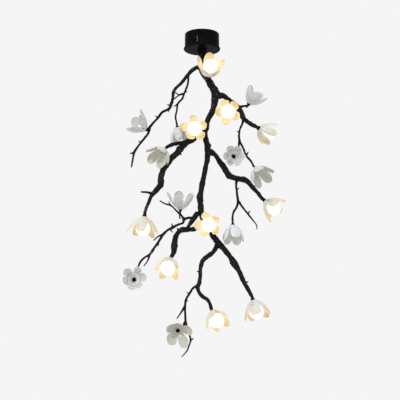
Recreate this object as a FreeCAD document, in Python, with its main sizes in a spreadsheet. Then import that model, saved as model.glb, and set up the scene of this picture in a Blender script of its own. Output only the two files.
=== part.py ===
import FreeCAD, Part
import math
import os
import re
import Sketcher

# A branch chandelier that hangs from the ceiling: a lacquered metal limb with side limbs and twigs,
# twenty porcelain blossoms, ten of them with a lamp, and a round canopy that hides the wiring.
# Millimetres, +Z up, the ceiling is the plane z = 0, the front is towards -Y.

Vector = FreeCAD.Vector
doc = FreeCAD.newDocument("branch_chandelier")
sheet = doc.addObject("Spreadsheet::Sheet", "Sizes")

SIZES = [
    # The front drawing: limbs and blossoms are laid out on squares, as the eye sees them.
    ("square", 3.43),              # real length of one square at the sighting distance
    ("sight_squares", 918),        # squares from the eye to the drawing
    ("eye_back_squares", 904),     # eye in front of the stem
    ("eye_down_squares", 334.4),   # eye below the ceiling
    ("eye_left_squares", 2.04),    # eye left of the stem
    ("eye_tilt", 10.08),           # degrees that the sight line rises
    # Canopy and stem
    ("canopy_radius", 61),
    ("canopy_height", 57),
    ("canopy_wall", 1.5),
    ("canopy_floor", 2.5),
    ("canopy_rim", 4),             # how far the rolled rim stands out
    ("rim_height", 7),
    ("rim_bevel", 1.5),
    ("ceiling_gap", 0.4),
    ("stem_radius", 11.5),
    ("stem_above_floor", 10),      # stem that stands up inside the canopy
    ("stem_length", 66),
    ("sliding_gap", 0.4),
    ("collar_height", 14),
    ("collar_wall", 5.5),          # how far the collar stands out of the stem
    ("collar_foot_wall", 2),
    ("collar_edge", 4),
    # Crossbar and its fittings
    ("bar_length", 108),
    ("bar_width", 22),
    ("bar_thick", 3),
    ("bar_drop", 17),              # how far the middle of the bar hangs below its ends
    ("bar_middle", 46),            # length of the lowered middle
    ("bar_slope", 7),              # length of each sloping stretch
    ("bend_inset", 1.2),           # shift of the upper corners of a bend
    ("slot_spacing", 88.9),
    ("slot_width", 5),
    ("slot_length", 14),
    ("nipple_radius", 6.5),
    ("nipple_bore", 4.6),
    ("nipple_above_bar", 8),
    ("nipple_in_stem", 16),
    ("nut_width", 20),
    ("nut_height", 5),
    ("lead_radius", 1.1),
    ("lead_start", 1.8),           # how far off the stem's line a lead begins
    ("lead_out", 24),              # how far out of the stem's line a lead hangs
    ("lead_end", 26),              # how far below the ceiling a lead ends
    ("lead_bend", 3.5),
    ("lead_over", 1.5),            # straight rise above the nipple
    ("lead_inside", 6),            # lead inside the nipple
    ("cap_radius", 5.5),
    ("cap_tip_radius", 3),
    ("cap_grip", 13),              # how far a cap reaches up its lead
    ("cap_wall", 1.8),
    ("screw_radius", 2),
    ("screw_head_radius", 4.2),
    ("screw_head", 3),
    ("screw_below", 4),
    ("screw_across", 17),          # place of the earth screw along the bar
    # Wiring in the limbs
    ("trunk_bore", 5.2),
    ("limb_bore", 3),
    ("bore_beyond", 1),            # how far the bore is cut past the end of a limb
    ("bundle_radius", 4),
    ("pair_radius", 1.9),
    # Fittings of a blossom, along its axis from the end of the limb
    ("calyx_foot_radius", 6.8),
    ("calyx_radius", 8.5),
    ("calyx_height", 5),
    ("thread_radius", 4.5),
    ("thread_length", 8),
    ("thread_gap", 0.3),
    ("dish_radius", 13),
    ("dish_thick", 4),
    ("cap_nut_radius", 6.5),
    ("cap_nut_height", 10),
    ("cap_nut_side", 6),           # height of its straight side
    ("cap_nut_tip_radius", 3.9),
    ("small_calyx_foot", 4.5),
    ("holder_radius", 10),
    ("holder_height", 12),
    ("pin_spacing", 9),
    ("pin_radius", 0.7),
    ("pin_length", 6),
    ("pin_gap", 0.3),
    ("bulb_foot_radius", 8),
    ("bulb_radius", 24),
    ("bulb_wall", 1.2),
    ("seat_gap", 0.3),
    # Petals
    ("petal_length", 71),
    ("petal_width", 31),
    ("petal_thick", 2.2),
    ("petal_claw", 4.2),           # half width where a petal leaves the dish
    ("petal_start", 9.5),          # radius at which a petal leaves the dish
    ("petal_lean", 75),            # degrees from the axis at its foot
    ("petal_rise", 0.4),           # foot of a petal above the underside of the dish
    ("petal_widest", 0.62),        # share of the length at which a petal is widest
    ("petal_round", 0.4),          # share of the length that the round tip takes
    ("petal_cup", 0.36),           # depth of the spoon as a share of its half width
]
for row, (alias, value) in enumerate(SIZES, start=1):
    sheet.set("A%d" % row, alias)
    sheet.set("B%d" % row, str(value))
    sheet.setAlias("B%d" % row, alias)
doc.recompute()


def size(alias):
    """Value of one named size."""
    return float(sheet.get(alias))


# ---------------------------------------------------------------- the front drawing

def stem_foot():
    """Lower end of the straight stem, from which the drawing hangs."""
    top = size("stem_above_floor") - size("ceiling_gap") - size("canopy_height")
    return Vector(0, 0, top - size("stem_length"))


def seen_at(across, down, forward):
    """Point that the eye sees at a square of the drawing, so far in front of the stem."""
    tilt = math.radians(size("eye_tilt"))
    square = size("square")
    rise = 200 - down
    level = size("sight_squares") * math.cos(tilt) - rise * math.sin(tilt)
    reach = (size("eye_back_squares") * square - forward) / level
    height = size("sight_squares") * math.sin(tilt) + rise * math.cos(tilt)
    return Vector(reach * (across - 200) - size("eye_left_squares") * square,
                  -forward,
                  reach * height - size("eye_down_squares") * square)


STEM_FOOT_SQUARE = (202, 65.2, 0)


def on_drawing(across, down, forward):
    """Real point of a square of the drawing, which hangs by the stem's foot."""
    return seen_at(across, down, forward) - seen_at(*STEM_FOOT_SQUARE) + stem_foot()


# Blossoms: the end of the limb on the drawing and forward in mm, the way it faces (right, front,
# up), petals, how far the petals lean at their tips in degrees, turn about its axis, and its lamp.
BLOSSOMS = {
    "stem_front": ((207.5, 76, 36), (0.20, 0.84, 0.50), 5, 14, 20, True),
    "left_shoulder": ((147.0, 129.9, -84), (-0.80, 0.35, 0.48), 5, 14, 10, False),
    "trunk_front": ((195.5, 129, 34), (-0.05, 0.97, -0.22), 5, 14, 0, True),
    "left_pendant": ((177.3, 126.6, -70), (0.20, 0.05, -0.98), 5, 10, 30, False),
    "left_elbow": ((164.8, 149.2, 53), (-0.45, 0.55, -0.70), 5, 14, 0, False),
    "right_front": ((227.5, 112, -2), (0.02, 0.97, -0.24), 5, 14, 40, True),
    "right_upper": ((248.2, 104.9, -70), (0.56, 0.30, 0.77), 5, 14, 0, False),
    "right_back": ((257.8, 127.6, -82), (0.80, -0.45, -0.38), 5, 14, 15, True),
    "right_face": ((233.5, 156.5, 8), (0.0, 0.97, -0.22), 6, 3, 0, False),
    "right_bell": ((254.9, 168.0, 12), (0.42, 0.55, -0.72), 5, 14, 25, False),
    "right_middle": ((264.3, 200.3, -70), (0.70, 0.25, -0.65), 5, 14, 10, True),
    "right_pendant": ((232.8, 224.2, 34), (0.02, 0.20, -0.98), 5, 10, 18, False),
    "centre_front": ((208.3, 224.5, 36), (0.0, 0.98, -0.18), 5, 14, 36, True),
    "left_upright": ((180.3, 210.6, -14), (0.05, 0.35, 0.94), 5, 14, 0, False),
    "left_middle": ((144.6, 215.5, 55), (-0.10, 0.10, -1.0), 5, 14, 36, True),
    "left_face": ((134.1, 280.0, 44), (0.06, 0.99, 0.0), 6, 10, 15, False),
    "left_lower": ((170.9, 258.5, 70), (-0.20, 0.60, -0.75), 5, 14, 0, True),
    "bottom_centre": ((212.3, 310.8, 56), (0.30, 0.60, -0.72), 5, 14, 20, True),
    "bottom_right": ((252.7, 299.0, 30), (0.25, 0.15, -0.95), 5, 10, 0, True),
    "bottom_face": ((177.9, 330.0, 50), (0.0, 0.96, -0.26), 5, 14, 10, False),
}

# Limbs and twigs: points along each, across and down the drawing, forward in mm, and diameter in
# mm. A limb starts on the line of the limb that bears it, and may end in a blossom.
TRUNK = [(202, 65.2, 0, 23), (202.6, 71, 0, 24), (208.3, 80, -4, 24), (213.5, 90, -8, 25),
         (214.8, 98, -10, 23), (213.2, 108, -8, 20), (207.8, 120.5, -3, 19), (204.7, 130, 0, 21),
         (205.9, 140, 4, 18), (208, 150, 7, 20), (207.1, 160, 7, 17), (205.2, 170, 4, 17),
         (203.7, 178, 0, 18), (201.4, 190, -4, 18), (200.3, 197, -6, 21), (200.4, 206, -8, 19),
         (203, 218, -8, 20), (208, 228, -5, 19), (213, 236, 0, 19), (218.4, 243, 3, 19)]

LIMBS = {
    "right_limb": [
        ([(214.3, 95, -9, 16), (223, 95.5, -16, 17), (230, 101, -30, 17), (237.5, 107.5, -42, 20),
          (240.6, 112, -47, 20), (244, 118.6, -54, 17), (250, 123.6, -65, 15)], "right_back")],
    "lower_right_limb": [
        ([(218.4, 243, 3, 19), (224.5, 249.8, 8, 18), (231.6, 259, 14, 19), (234.6, 263.5, 17, 22),
          (239.3, 271.5, 20, 17), (244.4, 282.9, 25, 15), (249.5, 292.2, 29, 13)],
         "bottom_right")],
    "middle_right_limb": [
        ([(208, 150, 7, 15), (214, 153.8, 0, 16), (220.4, 162.8, -12, 18), (225.5, 170.4, -20, 20),
          (229.3, 175.5, -26, 21), (237, 178.5, -36, 20), (246.5, 180.6, -46, 19),
          (252.3, 187, -54, 15), (258, 193.4, -62, 13)], "right_middle")],
    "left_limb": [
        ([(204.7, 130, 0, 20), (199, 134.5, 6, 22), (193, 139, 10, 21), (187, 142.3, 14, 20),
          (179.7, 150.4, 20, 20), (172, 158, 26, 21), (167.2, 163.5, 28, 22),
          (163.2, 170, 30, 20), (161.2, 176, 34, 19), (160.6, 184, 38, 21),
          (156.4, 190.2, 42, 18), (151.3, 196, 46, 14), (148.3, 203.4, 50, 11)], "left_middle"),
        ([(153, 193.8, 45, 7), (148.3, 192.5, 51, 6), (140.6, 191.9, 55, 4.5)], None)],
    "lower_left_limb": [
        ([(204.5, 221, -7, 16), (199, 226, 0, 17), (194.2, 228.9, 6, 17), (186.5, 229.5, 16, 17),
          (180, 230.8, 26, 17), (175.9, 236.5, 36, 17), (175, 241.6, 44, 19), (174.4, 246, 50, 22),
          (173.8, 252, 58, 16)], "left_lower")],
    "bottom_limb": [
        ([(218.4, 243, 3, 15), (213, 252, 10, 15), (206.5, 257.2, 16, 16), (202, 262, 20, 15),
          (200.4, 269.5, 24, 13), (200.4, 276, 28, 13), (199.1, 282.5, 31, 13),
          (197.6, 287, 34, 14), (199, 292, 38, 12.5), (202.5, 296.5, 42, 12),
          (207.4, 299.5, 46, 12), (210.2, 304.5, 50, 11.5)], "bottom_centre")],
    "stem_front_spur": [([(203, 72.5, 0, 14), (204.6, 76.2, 14, 13)], "stem_front")],
    "trunk_front_spur": [([(205, 127.5, -1, 13), (201.5, 129.5, 12, 13)], "trunk_front")],
    "right_front_spur": [([(229.5, 100.6, -29, 12), (228.8, 107, -22, 12)], "right_front")],
    "centre_front_spur": [([(205, 222, -7, 13), (207.3, 225, 10, 13)], "centre_front")],
}

TWIGS = {
    "upper_left_limb": ("trunk", [
        ([(202.3, 69, 0, 15), (197, 67.5, -6, 14), (192.5, 70, -12, 14), (187.6, 75.3, -20, 13),
          (181.9, 82.3, -28, 11), (174.2, 90.6, -38, 11), (172.5, 99, -46, 10),
          (169.5, 108.3, -56, 9.5), (162, 112.5, -66, 9), (157.4, 118.5, -74, 8.5),
          (152.3, 124.2, -82, 9), (149.1, 128.7, -88, 9.5), (148.2, 133.1, -90, 8.5),
          (144, 138.9, -92, 8), (138.3, 145.9, -94, 8), (134.4, 152.3, -94, 8.5),
          (132.8, 159.3, -92, 7), (131.3, 167.6, -90, 5)], None),
        ([(149.6, 128.6, -87, 8)], "left_shoulder"),
        ([(134.6, 152, -94, 6), (129.7, 154, -98, 4)], None)]),
    "left_pendant_twig": ("upper_left_limb", [
        ([(188, 75.5, -20, 7.5), (188.3, 80.8, -27, 7), (187.4, 85.3, -33, 7),
          (184.2, 93.6, -43, 7), (182.3, 98.7, -49, 7), (177.8, 103.8, -57, 7),
          (176.8, 110.8, -63, 6.5), (175.6, 117.2, -67, 6.5), (176.5, 122.4, -69, 6.5)],
         "left_pendant"),
        ([(184.2, 93.6, -43, 6), (178.4, 94.6, -58, 5), (174.9, 91.7, -66, 4)], None),
        ([(180.3, 94.3, -53, 4), (174, 99.3, -66, 4.2), (172, 102.2, -70, 3.5)], None)]),
    "right_upper_twig": ("right_limb", [
        ([(238.6, 107.3, -43, 9), (243, 106.3, -53, 8), (246.7, 105.9, -64, 8)], "right_upper")]),
    "right_hanging_twig": ("right_limb", [
        ([(243.3, 118.3, -53, 8), (242.5, 123, -46, 8), (239.5, 131, -36, 7),
          (239.5, 140, -24, 8), (243.3, 148.4, -13, 7), (246.5, 156, -5, 8),
          (251.5, 162, 3, 7)], "right_bell"),
        ([(239.5, 140, -24, 7), (238.5, 147, -22, 7), (236, 153.5, -17, 7)], "right_face")]),
    "left_elbow_spur": ("left_limb", [
        ([(186, 143, 15, 12.5), (179.7, 143.2, 26, 13), (172, 144.8, 42, 12.5)], "left_elbow")]),
    "right_pendant_twig": ("middle_right_limb", [
        ([(237, 178.8, -36, 9), (236.2, 185.7, -27, 8), (237, 193.4, -19, 8),
          (237.9, 200.4, -12, 9), (236.5, 207.4, 2, 7.5), (233.6, 212, 14, 7.5),
          (232.6, 218, 26, 7)], "right_pendant"),
        ([(237.9, 200.4, -12, 7), (242.7, 207.4, -20, 6.5), (247.8, 213.8, -26, 7),
          (252.9, 220.2, -34, 5), (256.7, 226, -40, 4), (257, 229.5, -42, 3.5)], None)]),
    "lower_left_twig": ("trunk", [
        ([(200.8, 209, -8, 9), (197.5, 214, -2, 9), (193.5, 218.2, 0, 9), (188.5, 217.8, -4, 9),
          (184.6, 219.3, -6, 9), (182.7, 223.1, 0, 8), (178.9, 224.4, 6, 8), (172.5, 227.6, 12, 9),
          (166.1, 231.4, 18, 8), (163, 234.8, 22, 9), (159.1, 241, 28, 8.5),
          (154.6, 247.4, 34, 8), (149.5, 254.6, 38, 8), (145.7, 256.8, 36, 7),
          (141.3, 260.6, 30, 7), (138.5, 266, 22, 7), (136, 273, 20, 7)], "left_face"),
        ([(184.6, 219.3, -6, 8), (181.4, 215.6, -10, 7.5)], "left_upright"),
        ([(181.4, 215.6, -10, 6.5), (176, 210.5, 8, 6), (171.2, 205.9, 20, 5.5),
          (164.2, 203.4, 26, 5), (159.4, 200.5, 28, 4)], None),
        ([(163.3, 234.4, 22, 6.5), (158.5, 236.2, 31, 5.5), (153.4, 240.7, 35, 4)], None),
        ([(149.5, 254.6, 38, 6.5), (148, 260, 41, 5.5), (143.5, 266.6, 44, 3.5)], None)]),
    "bottom_twig": ("bottom_limb", [
        ([(198, 286, 33, 8), (194, 287.5, 34, 8), (189.5, 293.8, 34, 8), (186.4, 298.9, 34, 8),
          (185, 306, 34, 8), (185.3, 314.6, 33, 7.5), (186, 323.3, 30, 7.5), (188, 329, 26, 6.5),
          (189.5, 335, 24, 6), (190.7, 340.2, 24, 6), (189.1, 345.3, 24, 5.5),
          (187.2, 350.4, 24, 4.5), (181.5, 357, 22, 3.5)], None),
        ([(185.8, 321, 31, 7), (182, 328, 33, 7)], "bottom_face"),
        ([(185, 306, 34, 6.5), (181.5, 312, 28, 6), (176.7, 318.8, 20, 4)], None)]),
}
BEARERS = {"right_front_spur": "right_limb", "bottom_limb": "lower_right_limb",
           "trunk_front_spur": "left_limb"}     # limbs that don't grow from the trunk
SPURS = ["stem_front_spur", "trunk_front_spur", "right_front_spur", "centre_front_spur",
         "left_elbow_spur"]
TIP_RUN = 9             # straight run of a limb behind its blossom
NEARLY_ALONG = 0.1      # sine of an angle too small to tell two directions apart
LIMB_SIDES = 12         # flats of a limb, which the chasing tool leaves on it
BORE_SIDES = 8          # flats of a wire bore and of the bundle in it
TIP_DIAMETER = {True: 11, False: 8}     # end of a limb that bears a lamp, and of one that doesn't


# ---------------------------------------------------------------- helpers

def blossom_place(name):
    """Placement with the blossom's axis along +Z and the end of its limb at the origin."""
    where, (right, front, up), petals, lean, turn, lamp = BLOSSOMS[name]
    axis = Vector(right, -front, up)
    axis.normalize()
    swing = FreeCAD.Rotation(Vector(0, 0, 1), axis)
    spin = FreeCAD.Rotation(Vector(0, 0, 1), turn)
    return FreeCAD.Placement(on_drawing(*where), swing.multiply(spin))


def blossom_axis(name):
    """Unit vector out of the blossom."""
    return blossom_place(name).Rotation.multVec(Vector(0, 0, 1))


def line_of(route, tip):
    """Points and diameters of a limb, with the straight run into its blossom at the end."""
    points = [on_drawing(*spot[:3]) for spot in route]
    widths = [spot[3] for spot in route]
    if tip:
        end = blossom_place(tip).Base
        last = TIP_DIAMETER[BLOSSOMS[tip][5]]
        points += [end - blossom_axis(tip) * TIP_RUN, end]
        widths += [0.5 * (widths[-1] + last), last]
    return points, widths


def rings_along(points, radii, sides, start=None, end=None):
    """Closed outlines square to a line at each of its points, each turned as little as it can be."""
    rings = []
    side = None
    for index, point in enumerate(points):
        before = point - points[index - 1] if index else Vector()
        after = points[index + 1] - point if index + 1 < len(points) else Vector()
        for step in (before, after):
            if step.Length:
                step.normalize()
        along = before + after
        if index == 0 and start:
            along = Vector(start)
        if index == len(points) - 1 and end:
            along = Vector(end)
        along.normalize()
        if side is None:
            side = along.cross(Vector(0, 1, 0))
            if side.Length < NEARLY_ALONG:
                side = along.cross(Vector(1, 0, 0))
        side = side - along * side.dot(along)
        side.normalize()
        other = along.cross(side)
        turns = [2 * math.pi * corner / sides for corner in range(sides + 1)]
        rings.append(Part.makePolygon([point + side * (radii[index] * math.cos(turn))
                                       + other * (radii[index] * math.sin(turn))
                                       for turn in turns]))
    return rings


def tube_along(points, radii, sides, start=None, end=None):
    """Solid many-sided rod along a line, straight between its points."""
    return Part.makeLoft(rings_along(points, radii, sides, start, end), True, True)


def rod_of(route, tip, start=None):
    """Outer solid of one limb or twig."""
    points, widths = line_of(route, tip)
    end = blossom_axis(tip) if tip else None
    return tube_along(points, [0.5 * width for width in widths], LIMB_SIDES, start, end)


def inner_of(route, tip, radius, beyond, start=None):
    """Solid of one radius along a limb's line, that goes on past the limb's end."""
    points, widths = line_of(route, tip)
    end = blossom_axis(tip)
    points.append(points[-1] + end * beyond)
    return tube_along(points, [radius] * len(points), BORE_SIDES, start, end)


def one_solid(shape):
    """The single solid of a shape, its largest when cutting left crumbs inside a parent limb."""
    return max(shape.Solids, key=lambda solid: solid.Volume)


def shaped(name, shape, place=None):
    """Document object that holds a worked-out shape, at a place."""
    feature = doc.addObject("Part::Feature", name)
    feature.Label = name
    feature.Shape = shape
    feature.Placement = place or FreeCAD.Placement()
    return feature


def bind(feature, **expressions):
    """Bind properties of an object to the named sizes."""
    for prop, expression in expressions.items():
        feature.setExpression(prop, expression)
    return feature


def origin_plane(body, role):
    """One of the body's own origin planes."""
    return [plane for plane in body.Origin.OriginFeatures if plane.Role == role][0]


def in_sheet(expression):
    """The same expression, for use outside the spreadsheet."""
    return re.sub(r"[a-z]+_[a-z_]+", lambda word: "Sizes." + word.group(), expression)


def outline_sketch(body, name, role, corners):
    """Closed outline of straight lines, whose corners are held by expressions of named sizes."""
    sketch = body.newObject("Sketcher::SketchObject", name)
    sketch.AttachmentSupport = [(origin_plane(body, role), "")]
    sketch.MapMode = "FlatFace"
    values = [(float(sheet.evalExpression(across)), float(sheet.evalExpression(up)))
              for across, up in corners]
    count = len(corners)
    for index in range(count):
        here = Vector(*values[index], 0)
        there = Vector(*values[(index + 1) % count], 0)
        sketch.addGeometry(Part.LineSegment(here, there), False)
    for index in range(count):
        sketch.addConstraint(Sketcher.Constraint("Coincident", index, 2, (index + 1) % count, 1))
        for kind, expression, value in zip(("DistanceX", "DistanceY"), corners[index],
                                           values[index]):
            held = sketch.addConstraint(Sketcher.Constraint(kind, -1, 1, index, 1, value))
            sketch.setExpression("Constraints[%d]" % held, in_sheet(expression))
    return sketch


def slot_sketch(body, name, middle):
    """Slot along X with round ends, whose middle is the given expression along the X axis."""
    sketch = body.newObject("Sketcher::SketchObject", name)
    sketch.AttachmentSupport = [(origin_plane(body, "XY_Plane"), "")]
    sketch.MapMode = "FlatFace"
    half = "0.5 * slot_width"
    ends = [middle + side + "(0.5 * slot_length - 0.5 * slot_width)" for side in (" - ", " + ")]
    left, right = [float(sheet.evalExpression(end)) for end in ends]
    radius = float(sheet.evalExpression(half))
    up = Vector(0, 0, 1)
    sketch.addGeometry(Part.LineSegment(Vector(left, radius, 0), Vector(right, radius, 0)), False)
    sketch.addGeometry(Part.ArcOfCircle(Part.Circle(Vector(right, 0, 0), up, radius),
                                        -0.5 * math.pi, 0.5 * math.pi), False)
    sketch.addGeometry(Part.LineSegment(Vector(right, -radius, 0), Vector(left, -radius, 0)), False)
    sketch.addGeometry(Part.ArcOfCircle(Part.Circle(Vector(left, 0, 0), up, radius),
                                        0.5 * math.pi, 1.5 * math.pi), False)
    for joint in ((0, 2, 1, 2), (1, 1, 2, 1), (2, 2, 3, 2), (3, 1, 0, 1)):
        sketch.addConstraint(Sketcher.Constraint("Coincident", *joint))
    for line, point, end, height in ((0, 1, 0, half), (0, 2, 1, half),
                                     (2, 1, 1, "-" + half), (2, 2, 0, "-" + half)):
        for kind, expression in (("DistanceX", ends[end]), ("DistanceY", height)):
            value = float(sheet.evalExpression(expression))
            held = sketch.addConstraint(Sketcher.Constraint(kind, -1, 1, line, point, value))
            sketch.setExpression("Constraints[%d]" % held, in_sheet(expression))
    for arc, end, value in ((1, 1, right), (3, 0, left)):
        held = sketch.addConstraint(Sketcher.Constraint("DistanceX", -1, 1, arc, 3, value))
        sketch.setExpression("Constraints[%d]" % held, in_sheet(ends[end]))
    return sketch


def turned(name, corners):
    """Body turned about the Z axis from an outline of radius and height."""
    body = doc.addObject("PartDesign::Body", name)
    body.Label = name
    sketch = outline_sketch(body, name + "_outline", "XZ_Plane", corners)
    turning = body.newObject("PartDesign::Revolution", name + "_turning")
    turning.Profile = sketch
    turning.ReferenceAxis = (sketch, ["V_Axis"])
    turning.Angle = 360
    doc.recompute()
    return body


def copies(name, shape, names):
    """One node that holds a copy of a fitting at each of the named blossoms."""
    placed = [shape.transformed(blossom_place(blossom).toMatrix()) for blossom in names]
    return shaped(name, Part.makeCompound(placed))


# ---------------------------------------------------------------- canopy and stem

def make_canopy():
    """Round cup with a rolled rim, open to the ceiling, with a hole for the stem in its floor."""
    foot = "-ceiling_gap - canopy_height"
    hole = "stem_radius + sliding_gap"
    rim = "canopy_radius + canopy_rim"
    return turned("canopy", [
        (hole, foot), (rim + " - rim_bevel", foot), (rim, foot + " + rim_bevel"),
        (rim, foot + " + rim_height - rim_bevel"), ("canopy_radius", foot + " + rim_height"),
        ("canopy_radius", "-ceiling_gap"), ("canopy_radius - canopy_wall", "-ceiling_gap"),
        ("canopy_radius - canopy_wall", foot + " + canopy_floor"),
        (hole, foot + " + canopy_floor")])


def make_collar():
    """Knurled ring that screws along the stem and holds the canopy up."""
    top = "-ceiling_gap - canopy_height - seat_gap"
    bore = "stem_radius + sliding_gap"
    edge = "stem_radius + collar_wall"
    foot = "stem_radius + collar_foot_wall"
    return turned("canopy_collar", [
        (bore, top + " - collar_height"), (foot, top + " - collar_height"),
        (edge, top + " - collar_edge"), (edge, top), (bore, top)])


def make_stem():
    """Straight turned tube between the nipple and the first limb."""
    top = "stem_above_floor - ceiling_gap - canopy_height"
    return turned("stem", [
        ("trunk_bore", top + " - stem_length"), ("stem_radius", top + " - stem_length"),
        ("stem_radius", top), ("nipple_radius", top),
        ("nipple_radius", top + " - nipple_in_stem"),
        ("trunk_bore", top + " - nipple_in_stem")])


def make_nipple():
    """Threaded tube that carries the stem from the crossbar."""
    top = "nipple_above_bar - bar_drop"
    foot = "stem_above_floor - ceiling_gap - canopy_height - nipple_in_stem"
    return turned("nipple", [
        ("nipple_bore", foot), ("nipple_radius", foot), ("nipple_radius", top),
        ("nipple_bore", top)])


def make_crossbar():
    """Strap with raised ends, a slot in each end and holes for the nipple and the earth screw."""
    body = doc.addObject("PartDesign::Body", "crossbar")
    body.Label = "crossbar"
    half, low, bend = "0.5 * bar_length", "0.5 * bar_middle", "bar_slope"
    side = outline_sketch(body, "crossbar_side", "XZ_Plane", [
        ("-" + half, "-bar_thick"), ("-" + low + " - " + bend, "-bar_thick"),
        ("-" + low, "-bar_drop - bar_thick"), (low, "-bar_drop - bar_thick"),
        (low + " + " + bend, "-bar_thick"), (half, "-bar_thick"), (half, "0"),
        (low + " + " + bend + " - bend_inset", "0"),
        (low + " - bend_inset", "-bar_drop"), ("-" + low + " + bend_inset", "-bar_drop"),
        ("-" + low + " - " + bend + " + bend_inset", "0"),
        ("-" + half, "0")])
    strap = body.newObject("PartDesign::Pad", "crossbar_strap")
    strap.Profile = side
    strap.Midplane = True
    bind(strap, Length="Sizes.bar_width")
    doc.recompute()
    for index, sign in enumerate(("-", "")):
        cut = body.newObject("PartDesign::Pocket", "slot_cut_%d" % index)
        cut.Profile = slot_sketch(body, "slot_%d" % index, sign + "0.5 * slot_spacing")
        bind(cut, Length="Sizes.bar_thick")
    for name, across, radius in (("nipple_hole", "0", "nipple_radius"),
                                 ("screw_hole", "screw_across", "screw_radius")):
        sketch = body.newObject("Sketcher::SketchObject", name)
        sketch.AttachmentSupport = [(origin_plane(body, "XY_Plane"), "")]
        sketch.MapMode = "FlatFace"
        middle = Vector(float(sheet.evalExpression(across)), 0, 0)
        circle = Part.Circle(middle, Vector(0, 0, 1), size(radius))
        sketch.addGeometry(circle, False)
        place = sketch.addConstraint(Sketcher.Constraint("DistanceX", -1, 1, 0, 3, middle.x))
        sketch.setExpression("Constraints[%d]" % place, in_sheet(across))
        sketch.addConstraint(Sketcher.Constraint("PointOnObject", 0, 3, -1))
        held = sketch.addConstraint(Sketcher.Constraint("Radius", 0, size(radius)))
        sketch.setExpression("Constraints[%d]" % held, in_sheet(radius))
        cut = body.newObject("PartDesign::Pocket", name + "_cut")
        cut.Profile = sketch
        bind(cut, Length="Sizes.bar_drop + Sizes.bar_thick")
    doc.recompute()
    return body


def make_nipple_nuts():
    """Two hexagon nuts that clamp the crossbar on the nipple."""
    nuts = []
    for name, height in (("upper_nut", "-Sizes.bar_drop"),
                         ("lower_nut", "-Sizes.bar_drop - Sizes.bar_thick - Sizes.nut_height")):
        block = bind(doc.addObject("Part::Prism", name + "_block"),
                     Circumradius="Sizes.nut_width / sqrt(3)", Height="Sizes.nut_height")
        block.setExpression("Placement.Base.z", height)
        bore = bind(doc.addObject("Part::Cylinder", name + "_bore"),
                    Radius="Sizes.nipple_radius", Height="Sizes.nut_height")
        bore.setExpression("Placement.Base.z", height)
        nut = doc.addObject("Part::Cut", name)
        nut.Base = block
        nut.Tool = bore
        nuts.append(nut)
    pair = doc.addObject("Part::Compound", "nipple_nuts")
    pair.Label = "nipple_nuts"
    pair.Links = nuts
    return pair


def make_earth_screw():
    """Screw with a round head on the crossbar, for the earth lead."""
    foot = "-bar_drop - bar_thick - screw_below"
    screw = turned("earth_screw", [
        ("0", foot), ("screw_radius", foot), ("screw_radius", "-bar_drop"),
        ("screw_head_radius", "-bar_drop"), ("screw_head_radius", "screw_head - bar_drop"),
        ("0", "screw_head - bar_drop")])
    screw.setExpression("Placement.Base.x", "Sizes.screw_across")
    return screw


def lead_path(out, end):
    """Line up out of the nipple, over its edge and down, with round bends, in the XZ plane."""
    bend = size("lead_bend")
    top = size("nipple_above_bar") - size("bar_drop") + size("lead_over") + bend
    begin = size("lead_start")
    low = size("nipple_above_bar") - size("bar_drop") - size("lead_inside")
    corner = bend * math.sqrt(0.5)
    first = Vector(begin + bend, 0, top - bend)
    last = Vector(out - bend, 0, top - bend)
    points = [Vector(begin, 0, low), Vector(begin, 0, top - bend),
              first + Vector(-corner, 0, corner), Vector(begin + bend, 0, top),
              Vector(out - bend, 0, top), last + Vector(corner, 0, corner),
              Vector(out, 0, top - bend), Vector(out, 0, end)]
    return Part.Wire([
        Part.makeLine(points[0], points[1]), Part.Arc(*points[1:4]).toShape(),
        Part.makeLine(points[3], points[4]), Part.Arc(*points[4:7]).toShape(),
        Part.makeLine(points[6], points[7])])


def lead_tube(turn, out, end):
    """Insulated lead from the wiring in the nipple, turned about the stem's line."""
    path = lead_path(out, end)
    section = Part.Wire([Part.makeCircle(size("lead_radius"), path.Vertexes[0].Point)])
    lead = path.makePipeShell([section], True, False)
    lead.rotate(Vector(), Vector(0, 0, 1), turn)
    return lead


def make_leads():
    """The two supply leads, and the earth lead that ends on the crossbar's screw."""
    supply = [lead_tube(turn, size("lead_out"), -size("lead_end")) for turn in (-90, 90)]
    shaped("supply_leads", Part.makeCompound(supply))
    head = size("screw_head") - size("bar_drop")
    shaped("earth_lead", lead_tube(0, size("screw_across"), head))


def make_wire_caps():
    """Two cone caps on the ends of the supply leads, each open at the top."""
    cap = turned("wire_cap", [
        ("cap_tip_radius", "-lead_end - cap_wall"), ("cap_radius", "cap_grip - lead_end"),
        ("cap_radius - cap_wall", "cap_grip - lead_end"), ("lead_radius", "-lead_end + cap_wall"),
        ("lead_radius", "-lead_end"), ("0", "-lead_end"),
        ("0", "-lead_end - cap_wall")])
    places = [Vector(0, side * size("lead_out"), 0) for side in (-1, 1)]
    return shaped("wire_caps", Part.makeCompound([cap.Shape.translated(at) for at in places]))


# ---------------------------------------------------------------- limbs and wiring

def make_trunk_rods():
    """Outer solid, wire bore and wiring of the trunk, from the stem's foot to the fork."""
    points = [on_drawing(*spot[:3]) for spot in TRUNK]
    radii = [0.5 * spot[3] for spot in TRUNK]
    down = Vector(0, 0, -1)
    bore = tube_along(points, [size("trunk_bore")] * len(points), BORE_SIDES, down)
    top = Vector(0, 0, size("nipple_above_bar") - size("bar_drop") - size("lead_inside"))
    bundle = [size("bundle_radius")] * (len(points) + 1)
    wiring = tube_along([top] + points, bundle, BORE_SIDES, down)
    return tube_along(points, radii, LIMB_SIDES, down), bore, wiring


def limb_start(name):
    """Direction in which a limb sets out, where it goes straight on from the trunk's fork."""
    fork = on_drawing(*TRUNK[-1][:3]) - on_drawing(*TRUNK[-2][:3])
    return fork if name == "lower_right_limb" else None


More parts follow.
